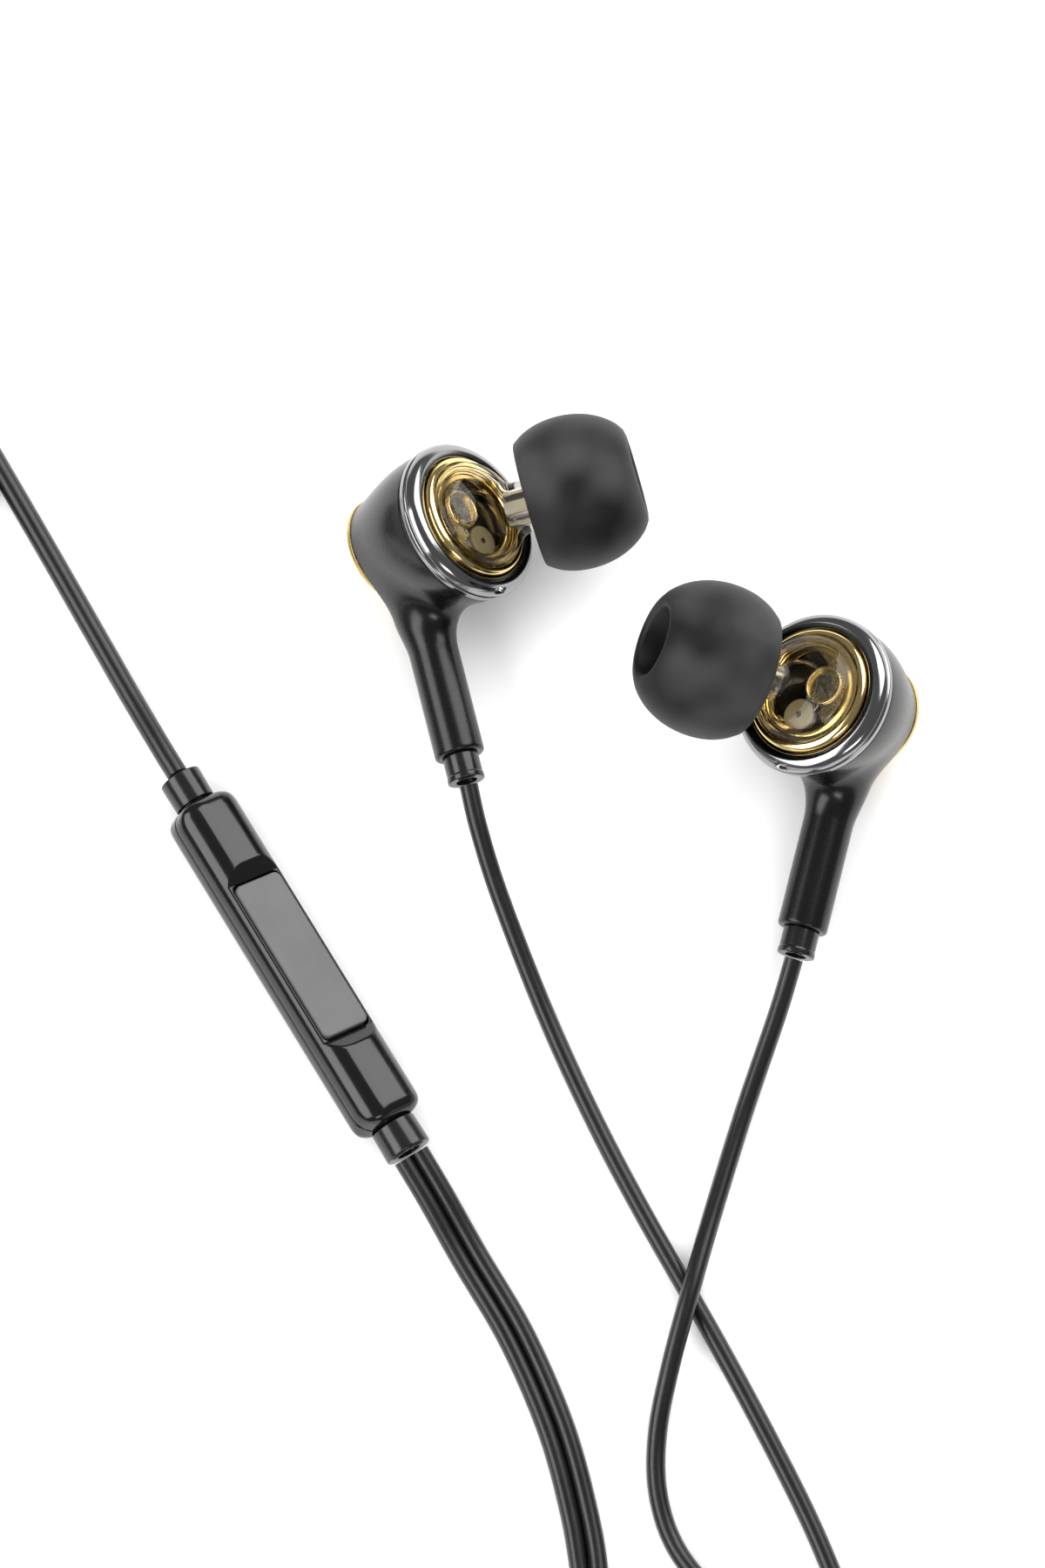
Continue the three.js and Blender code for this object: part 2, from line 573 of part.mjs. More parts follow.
function strand(side) {
  const spacing = (branchCordDiameter + looseGap) / 2;
  return twinRoute.map(([x, y, z, roll], i) => {
    const before = twinRoute[Math.max(i - 1, 0)];
    const after = twinRoute[Math.min(i + 1, twinRoute.length - 1)];
    const [dx, dy] = [after[0] - before[0], after[1] - before[1]];
    const flat = (side * spacing * Math.cos(THREE.MathUtils.degToRad(roll))) / Math.hypot(dx, dy);
    const lift = spacing * Math.sin(THREE.MathUtils.degToRad(roll));
    return [x - dy * flat, y + dx * flat, z + lift * (1 + side)];
  });
}

cord("main_cord", mainRoute, mainCordDiameter, 10);
coil("main_cord_coil", mainCoil);
cord("main_cord_tail", tailRoute, mainCordDiameter, 2);
cord("left_cord", leftRoute, branchCordDiameter, 24);
cord("right_cord", rightRoute, branchCordDiameter, 20);
cord("left_cord_start", strand(-1), branchCordDiameter, 15);
cord("right_cord_start", strand(1), branchCordDiameter, 15);
coil("branch_cord_coil", branchCoil);

object.position.set(-origin.x, -origin.y, 0);

export default object;
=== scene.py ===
# Wired earphones on a pale table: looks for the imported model. Lengths in millimetres, times mm.
import json
import math
import bpy
import numpy as np
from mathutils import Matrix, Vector


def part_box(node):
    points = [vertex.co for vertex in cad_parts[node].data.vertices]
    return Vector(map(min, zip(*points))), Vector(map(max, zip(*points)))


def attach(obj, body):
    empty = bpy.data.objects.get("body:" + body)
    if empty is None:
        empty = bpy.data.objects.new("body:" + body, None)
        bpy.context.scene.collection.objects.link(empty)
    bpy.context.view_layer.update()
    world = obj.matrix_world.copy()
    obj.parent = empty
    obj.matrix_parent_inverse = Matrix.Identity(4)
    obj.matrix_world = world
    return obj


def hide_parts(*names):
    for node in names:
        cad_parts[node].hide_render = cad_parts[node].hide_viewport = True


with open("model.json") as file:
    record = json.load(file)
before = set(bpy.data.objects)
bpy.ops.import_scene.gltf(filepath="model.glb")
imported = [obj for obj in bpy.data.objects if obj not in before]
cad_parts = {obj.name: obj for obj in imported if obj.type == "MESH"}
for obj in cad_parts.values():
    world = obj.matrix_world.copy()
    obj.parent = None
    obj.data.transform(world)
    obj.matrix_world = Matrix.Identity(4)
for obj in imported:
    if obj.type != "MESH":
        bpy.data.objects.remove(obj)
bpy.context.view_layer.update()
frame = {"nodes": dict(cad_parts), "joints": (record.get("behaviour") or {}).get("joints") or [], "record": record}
mm = 0.001


view = {"lens": 120, "away": 420, "elevation": 75, "target": (-1.44, 2.03, 0)}


def setUpCamera():
    e = math.radians(view["elevation"])
    camera = bpy.data.objects.new("camera", bpy.data.cameras.new("camera"))
    bpy.context.collection.objects.link(camera)
    camera.data.lens = view["lens"]
    camera.data.sensor_width = 36
    camera.data.clip_start, camera.data.clip_end = 0.02, 10
    back = np.array([0, -math.cos(e), math.sin(e)]) * view["away"]
    camera.location = (np.array(view["target"]) + back) * mm
    camera.rotation_euler = (math.radians(90 - view["elevation"]), 0, 0)
    bpy.context.scene.camera = camera


setUpCamera()
print("camera ready")


def unit(v):
    v = np.asarray(v, float)
    return v / np.linalg.norm(v, axis=-1, keepdims=True)


def smooth(t):  # 0 to 1 with level ends: 3t^2 - 2t^3
    t = np.clip(t, 0, 1)
    return t * t * (3 - 2 * t)


def evenly(curve, step):  # the same line with points an equal distance apart
    gone = np.append(0, np.cumsum(np.linalg.norm(np.diff(curve, axis=0), axis=1)))
    at = np.linspace(0, gone[-1], max(int(gone[-1] / step), 8))
    return np.stack([np.interp(at, gone, curve[:, k]) for k in range(curve.shape[1])], axis=1)


def through(points, step=0.6):
    # Curve through the points, by the Catmull-Rom rule, then spaced evenly.
    p = np.asarray(points, float)
    p = np.vstack([2 * p[0] - p[1], p, 2 * p[-1] - p[-2]])
    t = np.linspace(0, len(p) - 3, 24 * (len(p) - 3) + 1)
    i = np.minimum(t.astype(int), len(p) - 4)
    f = (t - i)[:, None]
    a, b, c, d = p[i], p[i + 1], p[i + 2], p[i + 3]
    curve = 0.5 * (2 * b + (c - a) * f + (2 * a - 5 * b + 4 * c - d) * f**2
                   + (3 * b - 3 * c + d - a) * f**3)
    return evenly(curve, step)


def rounded(corners, turns=6):
    # Outline with its corners rounded. A corner is (r, z) or (r, z, how far the rounding reaches).
    pts = [np.array(c[:2], float) for c in corners]
    reach = [c[2] if len(c) > 2 else 0 for c in corners]
    out = [pts[0]]
    for before, here, after, back in zip(pts, pts[1:], pts[2:], reach[1:]):
        if back == 0:
            out.append(here)
            continue
        gaps = [np.linalg.norm(before - here), np.linalg.norm(after - here)]
        back = min([back] + [0.49 * g for g in gaps])
        start, end = here + unit(before - here) * back, here + unit(after - here) * back
        t = np.linspace(0, 1, turns)[:, None]
        out.extend((1 - t)**2 * start + 2 * t * (1 - t) * here + t**2 * end)
    out.append(pts[-1])
    return np.array(out)


def basis(x, y, z):
    return np.array([unit(x), unit(y), unit(z)])


def addMesh(name, verts, faces, material, sharp=None, uv=None, normals=None):
    mesh = bpy.data.meshes.new(name)
    faces = faces.tolist() if isinstance(faces, np.ndarray) else faces
    mesh.from_pydata(np.asarray(verts).tolist(), [], faces)
    mesh.update()
    obj = bpy.data.objects.new(name, mesh)
    bpy.context.collection.objects.link(obj)
    mesh.materials.append(material)
    mesh.shade_smooth()
    if uv is not None:
        layer = mesh.uv_layers.new(name="flat")
        loops = np.empty(len(mesh.loops), np.int32)
        mesh.loops.foreach_get("vertex_index", loops)
        layer.data.foreach_set("uv", np.asarray(uv, np.float32)[loops].ravel())
    outward(mesh)
    if sharp:
        mesh.set_sharp_from_angle(angle=math.radians(sharp))
    if normals is not None:
        mesh.normals_split_custom_set_from_vertices(normals.tolist())
    return obj


def outward(mesh):  # turns a closed mesh right side out, from the sign of its volume
    mesh.calc_loop_triangles()
    co = np.empty(len(mesh.vertices) * 3, np.float32)
    mesh.vertices.foreach_get("co", co)
    tri = np.empty(len(mesh.loop_triangles) * 3, np.int32)
    mesh.loop_triangles.foreach_get("vertices", tri)
    a, b, c = co.reshape(-1, 3)[tri.reshape(-1, 3)].transpose(1, 0, 2)
    if (a * np.cross(b, c)).sum() < 0:
        mesh.flip_normals()


def gridFaces(rows, cols, wrapRows=False):
    # Quads of a grid that closes round its columns: point (i, j) is number i * cols + j.
    i = np.arange(rows if wrapRows else rows - 1)[:, None]
    j = np.arange(cols)[None, :]
    k, m = (i + 1) % rows, (j + 1) % cols
    return np.stack([i * cols + j, k * cols + j, k * cols + m, i * cols + m], -1).reshape(-1, 4)


def ends(count, cols, rows):  # fans that close the first and the last row
    j = np.arange(cols)
    m, last = (j + 1) % cols, (rows - 1) * cols
    return (np.stack([np.full(cols, count), m, j], -1).tolist()
            + np.stack([np.full(cols, count + 1), last + j, last + m], -1).tolist())


def lathe(name, outline, place, material, around=96, sharp=35, dent=None, lean=None):
    # Each outline point (r, z) becomes a ring (r cos a, r sin a, z). An outline that starts
    # and ends on the axis gets a fan at each end, any other one joins up with itself.
    # dent moves the ring points, given their radius, angle and height, and lean shifts each
    # ring along y by a distance that depends on its height.
    outline = np.asarray(outline, float)
    origin, axes = place
    solid = outline[0][0] < 1e-6 and outline[-1][0] < 1e-6
    rings = outline[1:-1] if solid else outline
    a = np.linspace(0, 2 * np.pi, around, endpoint=False)[None, :]
    r, z = rings[:, :1] + 0 * a, rings[:, 1:] + 0 * a
    if dent:
        r, z = dent(r, a + 0 * r, z)
    pts = np.stack([r * np.cos(a), r * np.sin(a), z], -1).reshape(-1, 3)
    faces = gridFaces(len(rings), around, wrapRows=not solid).tolist()
    if solid:
        faces += ends(len(pts), around, len(rings))
        pts = np.vstack([pts, [0, 0, outline[0][1]], [0, 0, outline[-1][1]]])
    if lean:
        pts = pts + np.outer(lean(pts[:, 2]), [0, 1, 0])
    return addMesh(name, (origin + pts @ axes) * mm, faces, material, sharp, uv=pts[:, :2])


def tube(name, path, radius, material, sides=16):
    # A round section carried along a path, its side axis level: cross(along, up).
    along = unit(np.gradient(path, axis=0))
    side = unit(np.cross(along, [0, 0, 1]))
    up = np.cross(side, along)
    a = np.linspace(0, 2 * np.pi, sides, endpoint=False)[None, :, None]
    pts = path[:, None] + radius * (np.cos(a) * side[:, None] + np.sin(a) * up[:, None])
    gone = np.append(0, np.cumsum(np.linalg.norm(np.diff(path, axis=0), axis=1)))
    faces = gridFaces(len(path), sides).tolist() + ends(len(path) * sides, sides, len(path))
    verts = np.vstack([pts.reshape(-1, 3), path[:1], path[-1:]])
    around = np.tile(np.arange(sides) / sides, len(path))
    uv = np.vstack([np.stack([around, np.repeat(gone, sides)], -1), [0, 0], [0, gone[-1]]])
    return addMesh(name, verts * mm, faces, material, 60, uv=uv)


def surfaceOf(name, distance, low, high, step, place, material):
    # Mesh of the points where distance(x, y, z) is 0, negative inside. Every grid cell that the
    # surface crosses gets one point, and points of cells that share a crossed edge join up.
    axes3 = [np.arange(a, b + step, step) for a, b in zip(low, high)]
    grid = np.stack(np.meshgrid(*axes3, indexing="ij"), -1)
    inside = distance(grid[..., 0], grid[..., 1], grid[..., 2]) < 0
    n = inside.shape
    corner = [inside[i:n[0] - 1 + i, j:n[1] - 1 + j, k:n[2] - 1 + k]
              for i in (0, 1) for j in (0, 1) for k in (0, 1)]
    total = np.sum(corner, axis=0)
    crossed = (total > 0) & (total < 8)
    number = np.full(crossed.shape, -1)
    number[crossed] = np.arange(crossed.sum())
    cell = np.argwhere(crossed)
    pts = np.array(low) + (cell + 0.5) * step
    quads = []
    for axis in range(3):
        u, v = (axis + 1) % 3, (axis + 2) % 3
        here = np.take(inside, range(n[axis] - 1), axis)
        there = np.take(inside, range(1, n[axis]), axis)
        edge = np.argwhere(here != there)
        edge = edge[(edge[:, u] > 0) & (edge[:, v] > 0)]
        du, dv = np.eye(3, dtype=int)[u], np.eye(3, dtype=int)[v]
        ring = [edge - du - dv, edge - dv, edge, edge - du]
        ids = np.stack([number[tuple(c.T)] for c in ring], -1)
        flip = there[tuple(edge.T)]
        ids[flip] = ids[flip][:, ::-1]
        quads.append(ids)
    e = step * 0.02

    def slope(p):  # gradient of the distance, from points a little way off on each axis
        near = [p + e * d for d in np.eye(3)] + [p - e * d for d in np.eye(3)]
        f = [distance(q[:, 0], q[:, 1], q[:, 2]) for q in near]
        return np.stack([f[0] - f[3], f[1] - f[4], f[2] - f[5]], -1) / (2 * e)

    for _ in range(5):  # Newton steps on to the surface, none longer than a cell
        g = slope(pts)
        f = distance(pts[:, 0], pts[:, 1], pts[:, 2])
        move = -f[:, None] * g / np.maximum((g * g).sum(-1, keepdims=True), 0.2)
        reach = np.linalg.norm(move, axis=1, keepdims=True)
        pts = pts + move * np.minimum(1, step / np.maximum(reach, 1e-9))
    origin, axes = place
    return addMesh(name, (origin + pts @ axes) * mm, np.vstack(quads), material,
                   normals=unit(slope(pts)) @ axes, uv=pts[:, :2])


def blendMin(a, b, k):  # the lower of two distances, with a fillet of about k between them
    h = np.maximum(k - np.abs(a - b), 0) / k
    return np.minimum(a, b) - h * h * k / 4


def blendMax(a, b, k):  # the higher of two distances, with the edge rounded by about k
    return -blendMin(-a, -b, k)


def newMaterial(name, color, roughness, metallic=0.0, **more):
    material = bpy.data.materials.new(name)
    material.use_nodes = True
    shader = material.node_tree.nodes["Principled BSDF"]
    shader.inputs["Base Color"].default_value = (*color, 1)
    shader.inputs["Roughness"].default_value = roughness
    shader.inputs["Metallic"].default_value = metallic
    for socket, value in more.items():
        shader.inputs[socket.replace("_", " ")].default_value = value
    return material


def noiseOf(tree, scale, detail=3, stretch=None):
    # Noise over the object itself, or with a stretch over its own UV map.
    where = tree.nodes.new("ShaderNodeTexCoord")
    noise = tree.nodes.new("ShaderNodeTexNoise")
    noise.inputs["Scale"].default_value = scale
    noise.inputs["Detail"].default_value = detail
    source = where.outputs["Object"]
    if stretch:
        mapping = tree.nodes.new("ShaderNodeMapping")
        mapping.inputs["Scale"].default_value = stretch
        tree.links.new(where.outputs["UV"], mapping.inputs["Vector"])
        source = mapping.outputs["Vector"]
    tree.links.new(source, noise.inputs["Vector"])
    return noise.outputs["Fac"]


def spread(tree, source, low, high):  # noise, mostly 0.3 to 0.7, stretched to low to high
    mapped = tree.nodes.new("ShaderNodeMapRange")
    for socket, value in zip(("From Min", "From Max", "To Min", "To Max"), (0.3, 0.7, low, high)):
        mapped.inputs[socket].default_value = value
    tree.links.new(source, mapped.inputs["Value"])
    return mapped.outputs["Result"]


def tinted(tree, source, dark, light, start=0.3, end=0.7):  # from dark to light as source rises
    ramp = tree.nodes.new("ShaderNodeValToRGB")
    ramp.color_ramp.elements[0].position = start
    ramp.color_ramp.elements[1].position = end
    ramp.color_ramp.elements[0].color = (*dark, 1)
    ramp.color_ramp.elements[1].color = (*light, 1)
    tree.links.new(source, ramp.inputs["Fac"])
    return ramp.outputs["Color"]


def raised(tree, source, strength, distance):  # source as a bump, distance in metres
    bump = tree.nodes.new("ShaderNodeBump")
    bump.inputs["Strength"].default_value = strength
    bump.inputs["Distance"].default_value = distance
    tree.links.new(source, bump.inputs["Height"])
    shader = tree.nodes["Principled BSDF"]
    tree.links.new(bump.outputs["Normal"], shader.inputs["Normal"])


grainHeight = 0.00001  # metres


def finish(name, color, roughness, metallic=0.0, scale=6000, bump=0.2, spreadBy=0.04, tint=0.08,
           **more):
    # A colour with fine grain: noise moves its height, its roughness and its colour a little.
    material = newMaterial(name, color, roughness, metallic, **more)
    tree = material.node_tree
    shader = tree.nodes["Principled BSDF"]
    fine = noiseOf(tree, scale)
    wide = noiseOf(tree, 220)
    if bump:
        raised(tree, fine, bump, grainHeight)
    rough = spread(tree, fine, roughness - spreadBy, roughness + spreadBy)
    tree.links.new(rough, shader.inputs["Roughness"])
    base = np.array(color)
    color = tinted(tree, wide, base * (1 - tint), base * (1 + tint))
    tree.links.new(color, shader.inputs["Base Color"])
    return material


shellBlack = finish("shell black", (0.003, 0.003, 0.0035), 0.26, scale=9000, bump=0.08,
                    Specular_IOR_Level=0.4)
collarBlack = finish("collar black", (0.008, 0.008, 0.0085), 0.2, scale=4000, bump=0.03)
remoteBlack = finish("remote black", (0.004, 0.004, 0.0045), 0.16, scale=900, bump=0.01,
                     spreadBy=0.02)
buttonGrey = finish("button grey", (0.1, 0.1, 0.1), 0.42, scale=16000, bump=0.3)
chrome = finish("dark chrome", (0.3, 0.3, 0.305), 0.15, 1, scale=700, bump=0.01, spreadBy=0.02,
                tint=0.04)
gold = finish("bright gold", (0.87, 0.66, 0.29), 0.12, 1, scale=2500, bump=0.02, spreadBy=0.04)
capGold = finish("satin gold", (0.66, 0.49, 0.18), 0.3, 1, scale=9000, bump=0.12, spreadBy=0.06)
plateGold = finish("plate gold", (0.62, 0.5, 0.28), 0.27, 1, scale=7000, bump=0.1)
# Black of the side letters and the disc pins, and painted shade on the thin disc under the crescent.
blackAndWellShade = finish("black and painted well shade", (0.012, 0.011, 0.009), 0.16, scale=1200, bump=0.02)
tan = finish("damping cloth", (0.2, 0.17, 0.11), 0.7, scale=12000, bump=0.5, tint=0.12)
steel = finish("steel", (0.3, 0.29, 0.27), 0.18, 1, scale=3000, bump=0.05)
copper = finish("copper wire", (0.72, 0.4, 0.22), 0.3, 1, scale=9000, bump=0.3)
filmClear = finish("driver film", (0.75, 0.66, 0.45), 0.3, scale=3000, bump=0.1)
boardGreen = finish("circuit board", (0.02, 0.12, 0.06), 0.4, scale=4000, bump=0.2, tint=0.3)
whitePlastic = finish("white plastic", (0.7, 0.7, 0.67), 0.45, scale=5000, bump=0.1)
bandBlack = finish("plug band", (0.015, 0.015, 0.016), 0.3, scale=3000, bump=0.05)


def siliconeMaterial():
    # Matte rubber whose colour has soft lighter patches: painted highlights in place of the soft blotches of lamp
    # light.
    material = newMaterial("silicone", (0.02, 0.02, 0.0205), 0.5, Specular_IOR_Level=0.3)
    tree = material.node_tree
    shader = tree.nodes["Principled BSDF"]
    # Painted highlight: this noise makes the lighter patches in the base colour.
    paintedSheenPatches = noiseOf(tree, 190, 1)
    color = tinted(tree, paintedSheenPatches, (0.004, 0.004, 0.0042), (0.034, 0.034, 0.035), 0.4, 0.68)
    tree.links.new(color, shader.inputs["Base Color"])
    tree.links.new(spread(tree, paintedSheenPatches, 0.5, 0.6), shader.inputs["Roughness"])
    raised(tree, noiseOf(tree, 9000), 0.25, grainHeight)
    return material


def cordMaterial():
    # Soft jacket with fine lengthwise streaks from drawing it through a die.
    material = newMaterial("cord jacket", (0.008, 0.008, 0.0085), 0.34, Specular_IOR_Level=0.5)
    tree = material.node_tree
    shader = tree.nodes["Principled BSDF"]
    streaks = noiseOf(tree, 1.0, 2, (24, 0.15, 1))
    color = tinted(tree, streaks, (0.003, 0.003, 0.0035), (0.009, 0.009, 0.0095))
    tree.links.new(color, shader.inputs["Base Color"])
    tree.links.new(spread(tree, noiseOf(tree, 5000), 0.28, 0.38), shader.inputs["Roughness"])
    raised(tree, streaks, 0.12, grainHeight)
    return material


def clothMaterial():
    # Woven wire: two sets of waves across each other give the height, and the colour is painted shade, darker
    # where the weave is low.
    material = newMaterial("wire mesh", (0.4, 0.4, 0.4), 0.35, 1.0)
    tree = material.node_tree
    where = tree.nodes.new("ShaderNodeTexCoord")
    both = tree.nodes.new("ShaderNodeMath")
    both.operation = "MULTIPLY"
    for i, direction in enumerate(("X", "Y")):
        wave = tree.nodes.new("ShaderNodeTexWave")
        wave.bands_direction = direction
        wave.inputs["Scale"].default_value = 1.6
        tree.links.new(where.outputs["UV"], wave.inputs["Vector"])
        tree.links.new(wave.outputs["Fac"], both.inputs[i])
    # Painted shade: near black in the low gaps between the wires.
    color = tinted(tree, both.outputs[0], (0.02, 0.02, 0.02), (0.5, 0.5, 0.5), 0.1, 0.5)
    tree.links.new(color, tree.nodes["Principled BSDF"].inputs["Base Color"])
    raised(tree, both.outputs[0], 0.6, 0.00003)
    return material


def clearMaterial():
    # Clear smoky cover: thin, so it hardly bends the view, and tinted a little unevenly.
    material = newMaterial("smoky clear", (0.93, 0.88, 0.76), 0.02, Transmission_Weight=1.0,
                           IOR=1.04, Coat_Weight=0.4, Coat_Roughness=0.03)
    tree = material.node_tree
    color = tinted(tree, noiseOf(tree, 150, 2), (0.91, 0.86, 0.74), (0.95, 0.91, 0.8))
    tree.links.new(color, tree.nodes["Principled BSDF"].inputs["Base Color"])
    return material


silicone, cordJacket, wireMesh = siliconeMaterial(), cordMaterial(), clothMaterial()
smokyClear = clearMaterial()


def ready(piece, slot, *nodes, body="earphones"):  # rides its body and stands in for the nodes
    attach(piece, body)
    if nodes:
        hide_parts(*nodes)
    return piece


# Diameters, how far each strand of the pair lies from its middle line as a share of the branch
# cord's diameter, and the height of a branch cord's middle on the table.
cordSizes = {"main": 1.75, "branch": 1.5, "strandShare": 0.49, "branchLow": 0.78}
shift = np.array([-1.44, 2.03, 0])
mainRoute = [(-27.53, 0.02, 2.8), (-28.9, 2.3, 2.45), (-31.4, 6.7, 1.45), (-34.1, 11.5, 1.0),
             (-37.9, 18.2, 0.9), (-40.6, 22.9, 0.9), (-42.4, 26.0, 0.9)]
tailRoute = [(-74.05, 17.4, 2.75), (-74.05, 15, 2.85), (-74.05, 12.0, 2.9)]
leftRoute = [(-4.27, -1.52, 5.3), (-3.45, -5.0, 4.7), (-1.75, -10.2, 3.2), (1.8, -19.1, 1.2),
             (5.45, -27.2, 0.78), (9.4, -34.95, 0.78), (15.05, -45.1, 0.78), (19.0, -52.6, 0.78),
             (22.4, -59.6, 0.78), (24.9, -66.0, 1.1), (26.1, -70.0, 2.3), (26.5, -73.4, 3.3)]
rightRoute = [(21.45, -15.2, 3.35), (20.15, -19.4, 2.4), (17.45, -27.1, 1.2), (14.95, -35.1, 1.6),
              (12.95, -42.0, 2.55), (11.5, -47.3, 1.9), (10.5, -52.2, 0.9), (10.45, -56.8, 0.78),
              (11.7, -61.0, 0.9), (14.4, -64.7, 2.1), (18.0, -67.6, 3.3)]
# The pair of branch cords below the remote. The last figure is how far it has rolled, in degrees.
twinRoute = [(-8.73, -30.86, 2.78, 0), (-6.75, -34.1, 2.1, 0), (-4.1, -38.7, 1.1, 0),
             (-0.45, -44.9, 0.78, 0), (2.6, -52.0, 0.78, 0), (4.4, -58.6, 0.78, 0),
             (5.2, -63.6, 0.78, 15), (5.5, -68.6, 0.78, 70), (5.5, -73.4, 0.78, 90)]
# A coil is columns of turns side by side, a pitch apart, stacked in layers at the levels.
mainCoil = {"centre": (-59.1, 25.2), "radius": 10.5, "columns": 6, "pitch": 1.77,
            "levels": (0.9, 2.67), "start": 30, "turned": 360 * 11 + 150}
branchCoil = {"centre": (16, -79.6), "radius": 9, "columns": 3, "pitch": 1.52,
              "layer": 1.54, "start": 180, "turned": 360 * 5}
moveOver = 70  # degrees a turn takes to change its column


def strand(side):  # one of the pair, beside the other and at the end on top of it
    p = np.array(twinRoute, float)
    along = unit(np.gradient(p[:, :2], axis=0))
    spacing = cordSizes["strandShare"] * cordSizes["branch"]
    roll = np.radians(p[:, 3])
    flat = side * spacing * np.cos(roll)
    lift = spacing * np.sin(roll) * (1 + side)
    return np.stack([p[:, 0] - along[:, 1] * flat, p[:, 1] + along[:, 0] * flat,
                     p[:, 2] + lift], -1)


def coilLine(coil, levels, turned):
    # Turns of a stored coil, counter-clockwise from its start angle, in degrees. The columns are
    # filled inward at the first height and outward at the second, and the cord moves over to
    # the next column in a turn's first part.
    count = coil["columns"]
    columns = [*range(count), *reversed(range(count))]
    levels = [levels[0]] * count + [levels[1]] * count
    outer = coil["radius"] + coil["pitch"] * (coil["columns"] - 1) / 2
    radii = outer - coil["pitch"] * np.array(columns)
    levels = np.array(levels, float)
    a = np.linspace(0, turned, int(turned / 6) + 1)
    turn = np.minimum((a / 360).astype(int), len(radii) - 1)
    before = np.maximum(turn - 1, 0)
    f = (a - 360 * turn) / moveOver
    r = radii[before] + (radii[turn] - radii[before]) * smooth(f)
    z = levels[before] + (levels[turn] - levels[before]) * smooth(2 * f)
    angle = np.radians(coil["start"] + a)
    x, y = coil["centre"]
    return np.stack([x + r * np.cos(angle), y + r * np.sin(angle), z], -1)


def mainLine():
    turns = coilLine(mainCoil, mainCoil["levels"], mainCoil["turned"])
    return evenly(np.vstack([through(mainRoute), turns[1:], through(tailRoute)]), 0.7) + shift


def branchLine(side, route, last):
    # The two cords fill the coil in turn, one layer each.
    low = cordSizes["branchLow"] + (branchCoil["layer"] if side > 0 else 0)
    turns = coilLine(branchCoil, (low, low + 2 * branchCoil["layer"]), branchCoil["turned"] + last)
    path = np.vstack([through(strand(side)), turns[1:], through(route[::-1])])
    return evenly(path, 0.6)[::-1] + shift


def lengthOf(path):
    return float(np.linalg.norm(np.diff(path, axis=0), axis=1).sum()) * mm


mainPath = mainLine()
leftPath, rightPath = branchLine(-1, leftRoute, 180), branchLine(1, rightRoute, 230)
mainCord = tube("main_cord_line", mainPath, cordSizes["main"] / 2, cordJacket)
leftCord = tube("left_cord_line", leftPath, cordSizes["branch"] / 2, cordJacket, 14)
rightCord = tube("right_cord_line", rightPath, cordSizes["branch"] / 2, cordJacket, 14)
ready(mainCord, "cord_jacket", "main_cord", "main_cord_coil", "main_cord_tail")
ready(leftCord, "cord_jacket", "left_cord", "left_cord_start", "branch_cord_coil")
ready(rightCord, "cord_jacket", "right_cord", "right_cord_start")
print("cords", [round(lengthOf(p), 3) for p in (mainPath, leftPath, rightPath)])


# Heights are along an earbud's own axis. setOff is how far the rear end lies off that axis.
housing = {"rear": -9.85, "capFace": -10.5, "rim": -10.4, "front": -2.05, "rearRadius": 4.55,
           "frontRadius": 6.5, "wall": 1.0, "setOff": 1.3, "bulge": 1.15, "capSeat": 4.65,
           "narrowest": 3.6, "cell": 0.15}
# The stem thickens by swell from swellFrom on, over the length swellOver, towards the housing.
stem = {"radius": 2.0, "axis": -8.3, "end": 17.35, "bore": 1.1, "boreFrom": 2.5, "fillet": 2.6,
        "swell": 0.5, "swellFrom": 8.5, "swellOver": 3.5}
nozzle = {"tilt": math.radians(38), "offset": 1.5, "radius": 2.1, "length": 9.6, "bore": 1.5,
          "barb": 0.15, "barbFrom": 8.2, "barbTo": 8.9, "fillet": 0.7}
cover = {"radius": 4.4, "top": 2.1, "hollowRadius": 3.8, "hollowTop": 1.5, "shoulder": 0.2,
         "foot": -1.0, "flange": 5.3, "flangeTop": -0.95, "back": -1.25, "hollowFillet": 0.8,
         "cell": 0.14}
mounts = {m["name"]: m for m in frame["record"]["mounts"]}
slides = {j["name"]: j for j in frame["joints"]}


def boxMiddle(node):
    low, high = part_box(node)
    return (np.array(low) + np.array(high)) / 2 / mm


def budPlace(name, side):
    # Own axes of an earbud: z out of its front, y against its stem, x across.
    front = -unit(mounts[name + "_back_face"]["axis"])
    out = unit(slides[name + "_tip_pull"]["axis"])
    across = unit(out - front * (out @ front)) * side
    axes = basis(across, np.cross(front, across), front)
    centre = boxMiddle(name + "_trim_ring") + 0.45 * front
    return centre, axes


def nozzlePlace(place, side):
    origin, axes = place
    c, s = math.cos(nozzle["tilt"]), side * math.sin(nozzle["tilt"])
    turn = np.array([[c, 0, -s], [0, 1, 0], [s, 0, c]])
    return origin + side * nozzle["offset"] * axes[0], turn @ axes


def setOff(z):  # none at the front, growing evenly to the rear
    share = (housing["front"] - z) / (housing["front"] - housing["capFace"])
    return housing["setOff"] * np.maximum(0, share)


